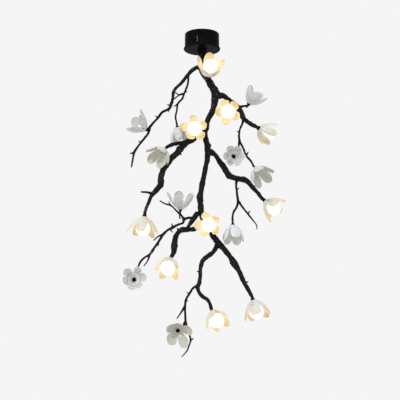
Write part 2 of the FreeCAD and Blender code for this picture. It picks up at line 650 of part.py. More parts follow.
def joined_rods(lines, start=None):
    """One limb or twig with its side twigs."""
    rods = [rod_of(route, tip, start) for route, tip in lines]
    return rods[0].multiFuse(rods[1:]) if rods[1:] else rods[0]


def cope(outer):
    """Cut each limb and twig back to the surface of those that bear it."""
    for name in LIMBS:
        for bearer in sorted({"trunk", BEARERS.get(name, "trunk")}):
            outer[name] = one_solid(outer[name].cut(outer[bearer]))
    for name, (bearer, lines) in TWIGS.items():
        outer[name] = one_solid(outer[name].cut(outer[bearer]))
    crossed = outer["lower_left_twig"].cut(outer["lower_left_limb"])
    outer["lower_left_twig"] = one_solid(crossed)


def make_limbs():
    """All limbs, twigs and the wiring inside them, each coped to the limb that bears it."""
    trunk, trunk_bore, wiring = make_trunk_rods()
    outer = {"trunk": trunk}
    bores = {"trunk": [trunk_bore]}
    up_to_neck = size("calyx_height") + size("thread_length")
    for name, lines in LIMBS.items():
        start = limb_start(name)
        route, tip = lines[0]
        outer[name] = joined_rods(lines, start)
        bore = inner_of(route, tip, size("limb_bore"), size("bore_beyond"), start)
        for bored in sorted({name, "trunk", BEARERS.get(name, "trunk")}):
            bores.setdefault(bored, []).append(bore)
        wiring = wiring.fuse(inner_of(route, tip, size("pair_radius"), up_to_neck, start))
    for name, (bearer, lines) in TWIGS.items():
        outer[name] = joined_rods(lines)
    cope(outer)
    for name, shape in outer.items():
        for bore in bores.get(name, []):
            shape = shape.cut(bore)
        outer[name] = one_solid(shape)
    spurs = [outer.pop(name) for name in SPURS]
    shaped("blossom_spurs", Part.makeCompound(spurs))
    for name, shape in outer.items():
        shaped(name, shape)
    shaped("limb_wiring", one_solid(wiring))


# ---------------------------------------------------------------- blossoms

PETAL_STEPS = 8         # stretches of a petal between its crescents
PETAL_PLACES = [-1, -0.65, -0.33, 0, 0.33, 0.65, 1]     # corners of a crescent, in half widths
SWELL_POWER = 1.5       # how slowly a petal widens out of its claw
CUP_AT_FOOT = 0.2       # share of the full cup at the foot of a petal
CUP_RISE = 3            # how fast the cup deepens along it


def petal_line(lean, steps):
    """Points of a petal's middle line and its lean there, from the dish to the tip."""
    length = size("petal_length")
    radius = size("petal_start")
    height = size("calyx_height") + size("petal_rise")
    line = []
    for step in range(steps + 1):
        share = step / steps
        angle = math.radians(lean + (size("petal_lean") - lean) * (1 - share) ** 2)
        line.append((share, radius, height, angle))
        radius += length / steps * math.sin(angle)
        height += length / steps * math.cos(angle)
    return line


def petal_width_at(share):
    """Half width of a petal: a narrow claw, a spoon that is widest past its middle, a round tip."""
    claw = size("petal_claw")
    spoon = 0.5 * size("petal_width")
    widest = size("petal_widest")
    swell = math.sin(0.5 * math.pi * min(1, share / widest)) ** SWELL_POWER
    past = max(0, share - widest) / size("petal_round")
    return (claw + (spoon - claw) * swell) * math.sqrt(max(0, 1 - past ** 2))


def make_petal(lean):
    """Spoon-shaped shell of even thickness, lofted through crescents along its middle line."""
    thick = size("petal_thick")
    crescents = []
    for share, radius, height, angle in petal_line(lean, PETAL_STEPS):
        half = petal_width_at(share)
        cup = size("petal_cup") * half * min(1, CUP_AT_FOOT + CUP_RISE * share)
        inward = Vector(-math.cos(angle), 0, math.sin(angle))
        middle = Vector(radius, 0, height)
        outer = [middle + Vector(0, half * across, 0) + inward * (cup * across ** 2)
                 for across in PETAL_PLACES]
        inner = [point + inward * thick for point in reversed(outer)]
        crescents.append(Part.makePolygon(outer + inner + outer[:1]))
    return Part.makeLoft(crescents, True, True)


def make_blossom(petals, lean):
    """Porcelain dish with a hole for the thread and a ring of petals, fired as one piece."""
    seat = Vector(0, 0, size("calyx_height"))
    dish = Part.makeCylinder(size("dish_radius"), size("dish_thick"), seat)
    hole = Part.makeCylinder(size("thread_radius") + size("thread_gap"), size("dish_thick"), seat)
    dish = dish.cut(hole)
    petal = make_petal(lean)
    for index in range(petals):
        dish = dish.fuse(petal.rotated(Vector(), Vector(0, 0, 1), 360 / petals * index))
    return one_solid(dish)


def make_blossoms():
    """Every blossom in its place on its limb; those of one form come from one mould."""
    moulds = {}
    for name, blossom in BLOSSOMS.items():
        form = blossom[2:4]
        if form not in moulds:
            moulds[form] = make_blossom(*form)
        shaped("blossom_" + name, moulds[form], blossom_place(name))


def make_fittings():
    """Calyxes, cap nuts, lampholders and bulbs, copied to the blossoms."""
    lit = [name for name, blossom in BLOSSOMS.items() if blossom[5]]
    plain = [name for name, blossom in BLOSSOMS.items() if not blossom[5]]
    neck = "calyx_height + thread_length"
    tube = turned("calyx_tube", [
        ("limb_bore", "0"), ("calyx_foot_radius", "0"),
        ("calyx_radius", "calyx_height"), ("thread_radius", "calyx_height"),
        ("thread_radius", neck), ("limb_bore", neck)])
    copies("lamp_calyxes", tube.Shape, lit)
    stud = turned("calyx_stud", [
        ("0", "0"), ("small_calyx_foot", "0"),
        ("calyx_radius", "calyx_height"), ("thread_radius", "calyx_height"),
        ("thread_radius", neck), ("0", neck)])
    copies("blossom_calyxes", stud.Shape, plain)
    seat = "calyx_height + dish_thick"
    nut = turned("cap_nut", [
        ("thread_radius", seat), ("cap_nut_radius", seat),
        ("cap_nut_radius", seat + " + cap_nut_side"),
        ("cap_nut_tip_radius", seat + " + cap_nut_height"),
        ("0", seat + " + cap_nut_height"), ("0", neck),
        ("thread_radius", neck)])
    copies("cap_nuts", nut.Shape, plain)
    holder = turned("holder_body", [
        ("thread_radius", seat), ("holder_radius", seat),
        ("holder_radius", seat + " + holder_height"),
        ("0", seat + " + holder_height"), ("0", neck),
        ("thread_radius", neck)])
    pins = [bind(doc.addObject("Part::Cylinder", "pin_hole_%d" % side),
                 Radius="Sizes.pin_radius + Sizes.pin_gap", Height="Sizes.pin_length")
            for side in (0, 1)]
    for sign, pin in zip(("-", ""), pins):
        pin.setExpression("Placement.Base.x", sign + "0.5 * Sizes.pin_spacing")
        pin.setExpression("Placement.Base.z", "Sizes.calyx_height + Sizes.dish_thick"
                                              " + Sizes.holder_height - Sizes.pin_length")
    pin_holes = doc.addObject("Part::MultiFuse", "pin_holes")
    pin_holes.Shapes = pins
    holder_cut = doc.addObject("Part::Cut", "holder")
    holder_cut.Base = holder
    holder_cut.Tool = pin_holes
    doc.recompute()
    copies("lampholders", holder_cut.Shape, lit)
    bulb = make_bulb()
    for name in lit:
        shaped("bulb_" + name, bulb.Shape, blossom_place(name))


def make_bulb():
    """Push-in lamp: a frosted globe on a round foot, with two contact pins under it."""
    seat = "Sizes.calyx_height + Sizes.dish_thick + Sizes.holder_height + Sizes.seat_gap"
    globe = bind(doc.addObject("Part::Sphere", "globe"), Radius="Sizes.bulb_radius")
    globe.setExpression("Placement.Base.z", seat + " + Sizes.bulb_radius")
    foot = bind(doc.addObject("Part::Cylinder", "bulb_foot"),
                Radius="Sizes.bulb_foot_radius", Height="Sizes.bulb_radius")
    foot.setExpression("Placement.Base.z", seat)
    pieces = [globe, foot]
    for index, sign in enumerate(("-", "")):
        pin = bind(doc.addObject("Part::Cylinder", "bulb_pin_%d" % index),
                   Radius="Sizes.pin_radius", Height="Sizes.pin_length")
        pin.setExpression("Placement.Base.x", sign + "0.5 * Sizes.pin_spacing")
        pin.setExpression("Placement.Base.z", seat + " - Sizes.pin_length + Sizes.seat_gap")
        pieces.append(pin)
    solid = doc.addObject("Part::MultiFuse", "bulb_solid")
    solid.Shapes = pieces
    inside = bind(doc.addObject("Part::Sphere", "bulb_inside"),
                  Radius="Sizes.bulb_radius - Sizes.bulb_wall")
    inside.setExpression("Placement.Base.z", seat + " + Sizes.bulb_radius")
    bulb = doc.addObject("Part::Cut", "bulb")
    bulb.Base = solid
    bulb.Tool = inside
    doc.recompute()
    return bulb


# ---------------------------------------------------------------- the whole lamp

make_canopy()
make_collar()
make_stem()
make_nipple()
make_crossbar()
make_nipple_nuts()
make_earth_screw()
make_leads()
make_wire_caps()
make_limbs()
make_blossoms()
make_fittings()
doc.recompute()

FITTING_NODES = ["canopy", "canopy_collar", "stem", "nipple", "crossbar", "nipple_nuts",
                 "earth_screw", "supply_leads", "earth_lead", "wire_caps",
                 "trunk", "blossom_spurs", "limb_wiring", "lamp_calyxes", "blossom_calyxes", "cap_nuts",
                 "lampholders"]
NODES = (FITTING_NODES + [name for name in [*LIMBS, *TWIGS] if name not in SPURS]
         + ["blossom_" + name for name in BLOSSOMS]
         + ["bulb_" + name for name, blossom in BLOSSOMS.items() if blossom[5]])

for feature in doc.Objects:
    if {"Invalid", "Error"} & set(feature.State):
        raise RuntimeError("%s did not build: %s" % (feature.Label, feature.State))
os.makedirs("parts", exist_ok=True)
for name in NODES:
    shape = doc.getObjectsByLabel(name)[0].Shape
    if shape.isNull() or not shape.isValid() or not shape.Solids:
        raise RuntimeError("%s has no sound solid" % name)
for name in NODES:
    doc.getObjectsByLabel(name)[0].Shape.exportStep("parts/%s.step" % name)
print(len(NODES), "nodes written")
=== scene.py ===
"""Looks of the branch chandelier: lacquered limbs, glazed porcelain blossoms and frosted lamps."""
import math
from collections import namedtuple

import bpy
import numpy as np
from mathutils import Euler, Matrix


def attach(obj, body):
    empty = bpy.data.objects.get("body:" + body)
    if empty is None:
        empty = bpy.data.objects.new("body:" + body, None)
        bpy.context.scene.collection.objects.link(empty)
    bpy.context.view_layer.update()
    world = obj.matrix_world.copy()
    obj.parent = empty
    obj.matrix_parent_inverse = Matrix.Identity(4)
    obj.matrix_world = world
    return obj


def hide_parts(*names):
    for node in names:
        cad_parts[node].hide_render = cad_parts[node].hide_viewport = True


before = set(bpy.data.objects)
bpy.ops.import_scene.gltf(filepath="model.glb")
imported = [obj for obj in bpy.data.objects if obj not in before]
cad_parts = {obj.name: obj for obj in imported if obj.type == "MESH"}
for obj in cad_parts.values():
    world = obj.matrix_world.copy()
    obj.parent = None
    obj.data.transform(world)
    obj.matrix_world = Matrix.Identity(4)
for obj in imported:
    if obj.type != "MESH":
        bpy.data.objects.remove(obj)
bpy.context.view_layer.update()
FRAME_BODY = "lamp_frame"

# ---------------------------------------------------------------- the front drawing, in metres
# Limbs and blossoms lie on the squares of a drawing, as an eye in front of the lamp sees them.
SQUARE = 0.00343                # real length of a square at the sighting distance
SIGHT = 918                     # squares from the eye to the drawing
EYE = np.array([-2.04, -904, -334.4]) * SQUARE
TILT = math.radians(10.08)      # rise of the sight line
STEM_FOOT = np.array([0, 0, -0.1134])
STEM_FOOT_SQUARE = (202, 65.2, 0)
SQUARES_ACROSS = 400
MIDDLE = SQUARES_ACROSS // 2


def seen_at(across, down, forward):
    """Point that the eye sees at a square, a distance in mm in front of the stem."""
    rise = MIDDLE - down
    level = SIGHT * math.cos(TILT) - rise * math.sin(TILT)
    reach = (-EYE[1] - forward / 1000) / level
    height = SIGHT * math.sin(TILT) + rise * math.cos(TILT)
    return np.array([reach * (across - MIDDLE) + EYE[0], -forward / 1000, reach * height + EYE[2]])


HANG = STEM_FOOT - seen_at(*STEM_FOOT_SQUARE)


def on_drawing(across, down, forward):
    """Real point of a square of the drawing, which hangs by the stem's foot."""
    return seen_at(across, down, forward) + HANG


# Blossoms: the end of the limb on the drawing and forward in mm, the way it faces (right, front,
# up), petals, how far the petals lean at their tips and its turn about its axis, both in degrees,
# and whether it bears a lamp.
Blossom = namedtuple("Blossom", "where facing petals lean turn lamp")
BLOSSOMS = {
    "stem_front": Blossom((207.5, 76, 36), (0.20, 0.84, 0.50), 5, 14, 20, True),
    "left_shoulder": Blossom((147.0, 129.9, -84), (-0.80, 0.35, 0.48), 5, 14, 10, False),
    "trunk_front": Blossom((195.5, 129, 34), (-0.05, 0.97, -0.22), 5, 14, 0, True),
    "left_pendant": Blossom((177.3, 126.6, -70), (0.20, 0.05, -0.98), 5, 10, 30, False),
    "left_elbow": Blossom((164.8, 149.2, 53), (-0.45, 0.55, -0.70), 5, 14, 0, False),
    "right_front": Blossom((227.5, 112, -2), (0.02, 0.97, -0.24), 5, 14, 40, True),
    "right_upper": Blossom((248.2, 104.9, -70), (0.56, 0.30, 0.77), 5, 14, 0, False),
    "right_back": Blossom((257.8, 127.6, -82), (0.80, -0.45, -0.38), 5, 14, 15, True),
    "right_face": Blossom((233.5, 156.5, 8), (0.0, 0.97, -0.22), 6, 3, 0, False),
    "right_bell": Blossom((254.9, 168.0, 12), (0.42, 0.55, -0.72), 5, 14, 25, False),
    "right_middle": Blossom((264.3, 200.3, -70), (0.70, 0.25, -0.65), 5, 14, 10, True),
    "right_pendant": Blossom((232.8, 224.2, 34), (0.02, 0.20, -0.98), 5, 10, 18, False),
    "centre_front": Blossom((208.3, 224.5, 36), (0.0, 0.98, -0.18), 5, 14, 36, True),
    "left_upright": Blossom((180.3, 210.6, -14), (0.05, 0.35, 0.94), 5, 14, 0, False),
    "left_middle": Blossom((144.6, 215.5, 55), (-0.10, 0.10, -1.0), 5, 14, 36, True),
    "left_face": Blossom((134.1, 280.0, 44), (0.06, 0.99, 0.0), 6, 10, 15, False),
    "left_lower": Blossom((170.9, 258.5, 70), (-0.20, 0.60, -0.75), 5, 14, 0, True),
    "bottom_centre": Blossom((212.3, 310.8, 56), (0.30, 0.60, -0.72), 5, 14, 20, True),
    "bottom_right": Blossom((252.7, 299.0, 30), (0.25, 0.15, -0.95), 5, 10, 0, True),
    "bottom_face": Blossom((177.9, 330.0, 50), (0.0, 0.96, -0.26), 5, 14, 10, False),
}

# Limbs and twigs: points along each, across and down the drawing, forward in mm, and diameter in
# mm. A limb starts on the line of the limb that bears it, and may end in a blossom.
TRUNK = [(202, 65.2, 0, 23), (202.6, 71, 0, 24), (208.3, 80, -4, 24), (213.5, 90, -8, 25),
         (214.8, 98, -10, 23), (213.2, 108, -8, 20), (207.8, 120.5, -3, 19), (204.7, 130, 0, 21),
         (205.9, 140, 4, 18), (208, 150, 7, 20), (207.1, 160, 7, 17), (205.2, 170, 4, 17),
         (203.7, 178, 0, 18), (201.4, 190, -4, 18), (200.3, 197, -6, 21), (200.4, 206, -8, 19),
         (203, 218, -8, 20), (208, 228, -5, 19), (213, 236, 0, 19), (218.4, 243, 3, 19)]

LIMBS = {
    "right_limb": [
        ([(214.3, 95, -9, 16), (223, 95.5, -16, 17), (230, 101, -30, 17), (237.5, 107.5, -42, 20),
          (240.6, 112, -47, 20), (244, 118.6, -54, 17), (250, 123.6, -65, 15)], "right_back")],
    "lower_right_limb": [
        ([(218.4, 243, 3, 19), (224.5, 249.8, 8, 18), (231.6, 259, 14, 19), (234.6, 263.5, 17, 22),
          (239.3, 271.5, 20, 17), (244.4, 282.9, 25, 15), (249.5, 292.2, 29, 13)],
         "bottom_right")],
    "middle_right_limb": [
        ([(208, 150, 7, 15), (214, 153.8, 0, 16), (220.4, 162.8, -12, 18), (225.5, 170.4, -20, 20),
          (229.3, 175.5, -26, 21), (237, 178.5, -36, 20), (246.5, 180.6, -46, 19),
          (252.3, 187, -54, 15), (258, 193.4, -62, 13)], "right_middle")],
    "left_limb": [
        ([(204.7, 130, 0, 20), (199, 134.5, 6, 22), (193, 139, 10, 21), (187, 142.3, 14, 20),
          (179.7, 150.4, 20, 20), (172, 158, 26, 21), (167.2, 163.5, 28, 22),
          (163.2, 170, 30, 20), (161.2, 176, 34, 19), (160.6, 184, 38, 21),
          (156.4, 190.2, 42, 18), (151.3, 196, 46, 14), (148.3, 203.4, 50, 11)], "left_middle"),
        ([(153, 193.8, 45, 9), (148.3, 192.5, 51, 8), (140.6, 191.9, 55, 6)], None)],
    "lower_left_limb": [
        ([(204.5, 221, -7, 16), (199, 226, 0, 17), (194.2, 228.9, 6, 17), (186.5, 229.5, 16, 17),
          (180, 230.8, 26, 17), (175.9, 236.5, 36, 17), (175, 241.6, 44, 19), (174.4, 246, 50, 22),
          (173.8, 252, 58, 16)], "left_lower")],
    "bottom_limb": [
        ([(218.4, 243, 3, 15), (213, 252, 10, 15), (206.5, 257.2, 16, 16), (202, 262, 20, 15),
          (200.4, 269.5, 24, 13), (200.4, 276, 28, 13), (199.1, 282.5, 31, 13),
          (197.6, 287, 34, 14), (199, 292, 38, 12.5), (202.5, 296.5, 42, 12),
          (207.4, 299.5, 46, 12), (210.2, 304.5, 50, 11.5)], "bottom_centre")],
    "stem_front_spur": [([(203, 72.5, 0, 14), (204.6, 76.2, 14, 13)], "stem_front")],
    "trunk_front_spur": [([(205, 127.5, -1, 13), (201.5, 129.5, 12, 13)], "trunk_front")],
    "right_front_spur": [([(229.5, 100.6, -29, 12), (228.8, 107, -22, 12)], "right_front")],
    "centre_front_spur": [([(205, 222, -7, 13), (207.3, 225, 10, 13)], "centre_front")],
}

TWIGS = {
    "upper_left_limb": [
        ([(202.3, 69, 0, 15), (197, 67.5, -6, 14), (192.5, 70, -12, 14), (187.6, 75.3, -20, 13),
          (181.9, 82.3, -28, 11), (174.2, 90.6, -38, 11), (172.5, 99, -46, 10),
          (169.5, 108.3, -56, 9.5), (162, 112.5, -66, 9), (157.4, 118.5, -74, 8.5),
          (152.3, 124.2, -82, 9), (149.1, 128.7, -88, 9.5), (148.2, 133.1, -90, 8.5),
          (144, 138.9, -92, 8), (138.3, 145.9, -94, 8), (134.4, 152.3, -94, 8.5),
          (132.8, 159.3, -92, 7), (131.3, 167.6, -90, 5)], None),
        ([(149.6, 128.6, -87, 8)], "left_shoulder"),
        ([(134.6, 152, -94, 6), (129.7, 154, -98, 4)], None)],
    "left_pendant_twig": [
        ([(188, 75.5, -20, 7.5), (188.3, 80.8, -27, 7), (187.4, 85.3, -33, 7),
          (184.2, 93.6, -43, 7), (182.3, 98.7, -49, 7), (177.8, 103.8, -57, 7),
          (176.8, 110.8, -63, 6.5), (175.6, 117.2, -67, 6.5), (176.5, 122.4, -69, 6.5)],
         "left_pendant"),
        ([(184.2, 93.6, -43, 6), (178.4, 94.6, -58, 5), (174.9, 91.7, -66, 4)], None),
        ([(180.3, 94.3, -53, 4), (174, 99.3, -66, 4.2), (172, 102.2, -70, 3.5)], None)],
    "right_upper_twig": [
        ([(238.6, 107.3, -43, 9), (243, 106.3, -53, 8), (246.7, 105.9, -64, 8)], "right_upper")],
    "right_hanging_twig": [
        ([(243.3, 118.3, -53, 8), (242.5, 123, -46, 8), (239.5, 131, -36, 7),
          (239.5, 140, -24, 8), (243.3, 148.4, -13, 7), (246.5, 156, -5, 8),
          (251.5, 162, 3, 7)], "right_bell"),
        ([(239.5, 140, -24, 7), (238.5, 147, -22, 7), (236, 153.5, -17, 7)], "right_face")],
    "left_elbow_spur": [
        ([(186, 143, 15, 12.5), (179.7, 143.2, 26, 13), (172, 144.8, 42, 12.5)], "left_elbow")],
    "right_pendant_twig": [
        ([(237, 178.8, -36, 9), (236.2, 185.7, -27, 8), (237, 193.4, -19, 8),
          (237.9, 200.4, -12, 9), (236.5, 207.4, 2, 7.5), (233.6, 212, 14, 7.5),
          (232.6, 218, 26, 7)], "right_pendant"),
        ([(237.9, 200.4, -12, 7), (242.7, 207.4, -20, 6.5), (247.8, 213.8, -26, 7),
          (252.9, 220.2, -34, 5), (256.7, 226, -40, 4), (257, 229.5, -42, 3.5)], None)],
    "lower_left_twig": [
        ([(200.8, 209, -8, 9), (197.5, 214, -2, 9), (193.5, 218.2, 0, 9), (188.5, 217.8, -4, 9),
          (184.6, 219.3, -6, 9), (182.7, 223.1, 0, 8), (178.9, 224.4, 6, 8), (172.5, 227.6, 12, 9),
          (166.1, 231.4, 18, 8), (163, 234.8, 22, 9), (159.1, 241, 28, 8.5),
          (154.6, 247.4, 34, 8), (149.5, 254.6, 38, 8), (145.7, 256.8, 36, 7),
          (141.3, 260.6, 30, 7), (138.5, 266, 22, 7), (136, 273, 20, 7)], "left_face"),
        ([(184.6, 219.3, -6, 8), (181.4, 215.6, -10, 7.5)], "left_upright"),
        ([(181.4, 215.6, -10, 6.5), (176, 210.5, 8, 6), (171.2, 205.9, 20, 5.5),
          (164.2, 203.4, 26, 5), (159.4, 200.5, 28, 4)], None),
        ([(163.3, 234.4, 22, 6.5), (158.5, 236.2, 31, 5.5), (153.4, 240.7, 35, 4)], None),
        ([(149.5, 254.6, 38, 6.5), (148, 260, 41, 5.5), (143.5, 266.6, 44, 3.5)], None)],
    "bottom_twig": [
        ([(198, 286, 33, 8), (194, 287.5, 34, 8), (189.5, 293.8, 34, 8), (186.4, 298.9, 34, 8),
          (185, 306, 34, 8), (185.3, 314.6, 33, 7.5), (186, 323.3, 30, 7.5), (188, 329, 26, 6.5),
          (189.5, 335, 24, 6), (190.7, 340.2, 24, 6), (189.1, 345.3, 24, 5.5),
          (187.2, 350.4, 24, 4.5), (181.5, 357, 22, 3.5)], None),
        ([(185.8, 321, 31, 7), (182, 328, 33, 7)], "bottom_face"),
        ([(185, 306, 34, 6.5), (181.5, 312, 28, 6), (176.7, 318.8, 20, 4)], None)],
}
SPURS = ["stem_front_spur", "trunk_front_spur", "right_front_spur", "centre_front_spur",
         "left_elbow_spur"]
TIP_RUN = 9             # straight run of a limb behind its blossom
TIP_DIAMETER = {True: 11, False: 8}     # end of a limb that bears a lamp, and of one that doesn't

# Small buds and thorns: root and tip on the drawing and forward, with the diameter at the root.
BUDS = {
    "upper_left_limb": [((170.6, 105.5, -53), (166.8, 104.6, -55), 5),
                        ((169.6, 108.5, -56), (168.2, 112.5, -52), 4),
                        ((158, 117.8, -73), (155, 115.6, -72), 4.5),
                        ((141, 142.5, -93), (138, 140.8, -90), 4)],
    "left_pendant_twig": [((178, 103.6, -57), (173.3, 107.3, -60), 4.5),
                          ((184.4, 93, -43), (187.8, 91, -42), 3.5)],
    "right_hanging_twig": [((246.3, 155.5, -6), (248.6, 151.5, -8), 5),
                           ((239.5, 133, -34), (236.6, 130.6, -34), 4)],
    "right_pendant_twig": [((247.6, 213.5, -26), (250.6, 210.8, -26), 4.5),
                           ((236.6, 190, -23), (239.6, 187.6, -24), 4)],
    "lower_left_twig": [((172.8, 227.5, 12), (171.5, 223.2, 12), 5),
                        ((170, 229, 14), (173, 233, 15), 4),
                        ((159, 241.2, 28), (157.8, 246.6, 30), 5),
                        ((170.8, 205.6, 20), (168.2, 201.3, 20), 4),
                        ((180, 219, 4), (179.2, 214.8, 6), 4)],
    "bottom_twig": [((181.7, 311.7, 28), (179.2, 314.9, 30), 4),
                    ((190.6, 340, 24), (194, 338.4, 25), 4.5),
                    ((189.8, 294, 34), (186.6, 292.4, 36), 4.5),
                    ((185, 302, 34), (188.4, 300.4, 35), 4)],
    "left_limb": [((179, 151, 20), (181.5, 155.5, 24), 6),
                  ((161.6, 181, 36), (158, 183.5, 36), 5)],
    "middle_right_limb": [((229.3, 175.5, -26), (227, 179.2, -22), 7),
                          ((252.6, 187.4, -54), (256.4, 185.6, -55), 5)],
    "lower_right_limb": [((231.6, 259, 14), (230.2, 264.6, 16), 8),
                         ((244.4, 282.9, 25), (248.6, 281.6, 26), 6)],
    "bottom_limb": [((206, 257.6, 16), (203.6, 260.8, 20), 6),
                    ((200.3, 272, 26), (196.6, 271.2, 27), 5)],
    "lower_left_limb": [((178.6, 231.4, 28), (177.2, 227.6, 30), 6),
                        ((197.6, 213, 0), (185.8, 230, 16), 15)],
}

# Habit of single blossoms: further turn and lean, share of the petals' width, and of each one's length.
LIT_HABIT = (0, 0, 1.0, ())
UNLIT_HABIT = (0, 0, 1.16, ())
HABITS = {
    "trunk_front": (16, 3, 1.0, ()),
    "right_front": (0, 2, 1.05, ()),
    "right_face": (0, 0, 0.90, ()),
    "left_face": (0, 2, 0.88, ()),
    "left_upright": (36, 6, 1.1, ()),
    "left_middle": (36, 7, 1.22, (1.1,) * 5),
    "bottom_right": (0, 4, 1.22, (1.1,) * 5),
    "right_middle": (0, 3, 1.12, (1.04,) * 5),
    "stem_front": (8, 3, 1.1, (1.1,) * 5),
    "left_pendant": (0, 0, 0.9, ()),
    "bottom_face": (0, 2, 1.12, (1.1, 0.84, 0.84, 1.04, 1.12)),
}

# Blossoms in a lighter, bluer copy of the white glaze, which paints light from above.
PAINTED_LIGHT_BLOSSOMS = ("right_pendant", "right_face", "left_face")

# Knots: place on the drawing and forward, diameter, and the direction in which each is drawn out.
KNOTS = {
    "trunk": [((216.6, 92.5, -9), 22, (0.5, 0, -1)), ((218.6, 96, -10), 20, (1, 0, -0.3)),
              ((205.6, 128.6, 0), 21, (0.2, 0, 1)), ((207.4, 150.5, 6), 20, (0.3, 0, -1)),
              ((199.6, 196.6, -6), 20, (0, 0, 1)), ((201.4, 207, -8), 20, (0.2, 0, -1)),
              ((216.8, 241, 2), 22, (0.6, 0, -1))],
    "left_limb": [((200, 134.3, 5), 22, (-1, 0, -0.4)), ((180, 148.4, 19), 22, (-1, 0, -0.8)),
                  ((167, 163, 29), 22, (-0.5, 0, -1)), ((160.2, 184.6, 38), 21, (0, 0, 1)),
                  ((154.6, 192.4, 44), 15, (-1, 0, -0.8))],
    "middle_right_limb": [((213, 153.4, 1), 18, (1, 0, -0.5)), ((229.4, 176, -27), 21, (1, 0, -0.8)),
                          ((247.6, 181.8, -47), 19, (1, 0, -0.5))],
    "right_limb": [((222.5, 96, -15), 17, (1, 0, -0.2)), ((239.8, 110, -46), 20, (0.5, 0, -1))],
    "lower_right_limb": [((233.6, 262.6, 16), 22, (0.5, 0, -1)), ((221, 246, 6), 20, (1, 0, -1))],
    "bottom_limb": [((205, 258.4, 17), 16, (-1, 0, -0.8)), ((198, 286.4, 33), 15, (0, 0, -1))],
    "lower_left_limb": [((174.6, 244.5, 49), 22, (0, 0, -1)), ((199, 225.6, 0), 18, (-1, 0, -0.6))],
    "upper_left_limb": [((187.6, 75.6, -20), 13, (-0.6, 0, -1)), ((171.2, 103.6, -51), 11, (-0.3, 0, -1))],
    "bottom_twig": [((190.6, 340.4, 24), 7, (0, 0, -1))],
    "lower_left_twig": [((184, 219.6, -5), 10, (-1, 0, 0)), ((172.4, 227.8, 12), 10, (-1, 0, -0.5))],
}

# ---------------------------------------------------------------- meshes from grids

def grid(points, holed):
    """One closed skin: rows of points along it and columns round it, with a fan at each end or, when
    a hole goes through it, its last row joined to its first."""
    rows, cols = points.shape[:2]
    strips = rows if holed else rows - 1
    row, col = np.meshgrid(np.arange(strips), np.arange(cols), indexing="ij")
    below, beside = (row + 1) % rows, (col + 1) % cols
    quads = np.stack([row * cols + col, row * cols + beside, below * cols + beside,
                      below * cols + col], -1).reshape(-1, 4)
    quad_uv = np.stack([np.stack([row, row, row + 1, row + 1], -1) / strips,
                        np.stack([col, col + 1, col + 1, col], -1) / cols], -1).reshape(-1, 4, 2)
    if holed:
        return points.reshape(-1, 3), quads, np.zeros((0, 3), int), quad_uv, np.zeros((0, 3, 2))
    rim = np.arange(cols)
    last = (rows - 1) * cols
    foot, tip = rows * cols, rows * cols + 1
    fans = np.concatenate([np.stack([np.roll(rim, -1), rim, np.full(cols, foot)], -1),
                           np.stack([last + rim, last + np.roll(rim, -1), np.full(cols, tip)], -1)])
    fan_along = np.repeat([0.0, 1.0], cols)
    fan_round = np.tile(rim / cols, 2)
    fan_uv = np.stack([np.repeat(fan_along[:, None], 3, 1), np.repeat(fan_round[:, None], 3, 1)], -1)
    ends = np.stack([points[0].mean(0), points[-1].mean(0)])
    corners = np.concatenate([points.reshape(-1, 3), ends])
    return corners, quads, fans, quad_uv, fan_uv


def piece(name, skins, material, replaces, body=FRAME_BODY, holed=False):
    """One mesh of several closed skins, with the share along and round each skin as its UV map."""
    corners, quads, fans, quad_uv, fan_uv = [], [], [], [], []
    start = 0
    for skin in skins:
        points, four, three, four_uv, three_uv = grid(skin, holed)
        corners.append(points)
        quads.append(four + start)
        fans.append(three + start)
        quad_uv.append(four_uv)
        fan_uv.append(three_uv)
        start += len(points)
    faces = np.concatenate(quads).tolist() + np.concatenate(fans).tolist()
    mesh = bpy.data.meshes.new(name)
    mesh.from_pydata(np.concatenate(corners).tolist(), [], faces)
    layer = mesh.uv_layers.new(name="UVMap")
    uv = np.concatenate([np.concatenate(quad_uv).reshape(-1, 2), np.concatenate(fan_uv).reshape(-1, 2)])
    layer.data.foreach_set("uv", uv.astype(np.float32).ravel())
    mesh.polygons.foreach_set("use_smooth", np.full(len(faces), True))
    mesh.materials.append(material)
    mesh.validate()
    mesh.update()
    made = bpy.data.objects.new(name, mesh)
    bpy.context.scene.collection.objects.link(made)
    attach(made, body)
    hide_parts(*replaces)


def unit(vectors):
    """Vectors scaled to length one."""
    return vectors / np.maximum(np.linalg.norm(vectors, axis=-1, keepdims=True), 1e-12)


def smooth_line(points, values, step):
    """Cubic line through given points, with values carried along, at even small steps."""
    points, values = np.asarray(points, float), np.asarray(values, float)
    chord = np.concatenate([[0], np.cumsum(np.linalg.norm(np.diff(points, axis=0), axis=1))])
    slope = np.gradient(points, chord, axis=0)
    value_slope = np.gradient(values, chord)
    along = np.linspace(0, chord[-1], max(8, int(chord[-1] / step)))
    cell = np.clip(np.searchsorted(chord, along, side="right") - 1, 0, len(chord) - 2)
    width = chord[cell + 1] - chord[cell]
    share = (along - chord[cell]) / width
    h00 = 2 * share ** 3 - 3 * share ** 2 + 1
    h10 = share ** 3 - 2 * share ** 2 + share
    h01 = 1 - h00
    h11 = share ** 3 - share ** 2
    line = (h00[:, None] * points[cell] + (h10 * width)[:, None] * slope[cell]
            + h01[:, None] * points[cell + 1] + (h11 * width)[:, None] * slope[cell + 1])
    carried = (h00 * values[cell] + h10 * width * value_slope[cell]
               + h01 * values[cell + 1] + h11 * width * value_slope[cell + 1])
    return line, np.maximum(carried, THINNEST), along


def square_to(line):
    """Two directions square to a line at each point, steadied by the axis that it never follows."""
    along = unit(np.gradient(line, axis=0))
    steady = np.eye(3)[np.argmin(np.abs(along).max(0))]
    side = unit(np.cross(along, steady))
    return side, np.cross(along, side)


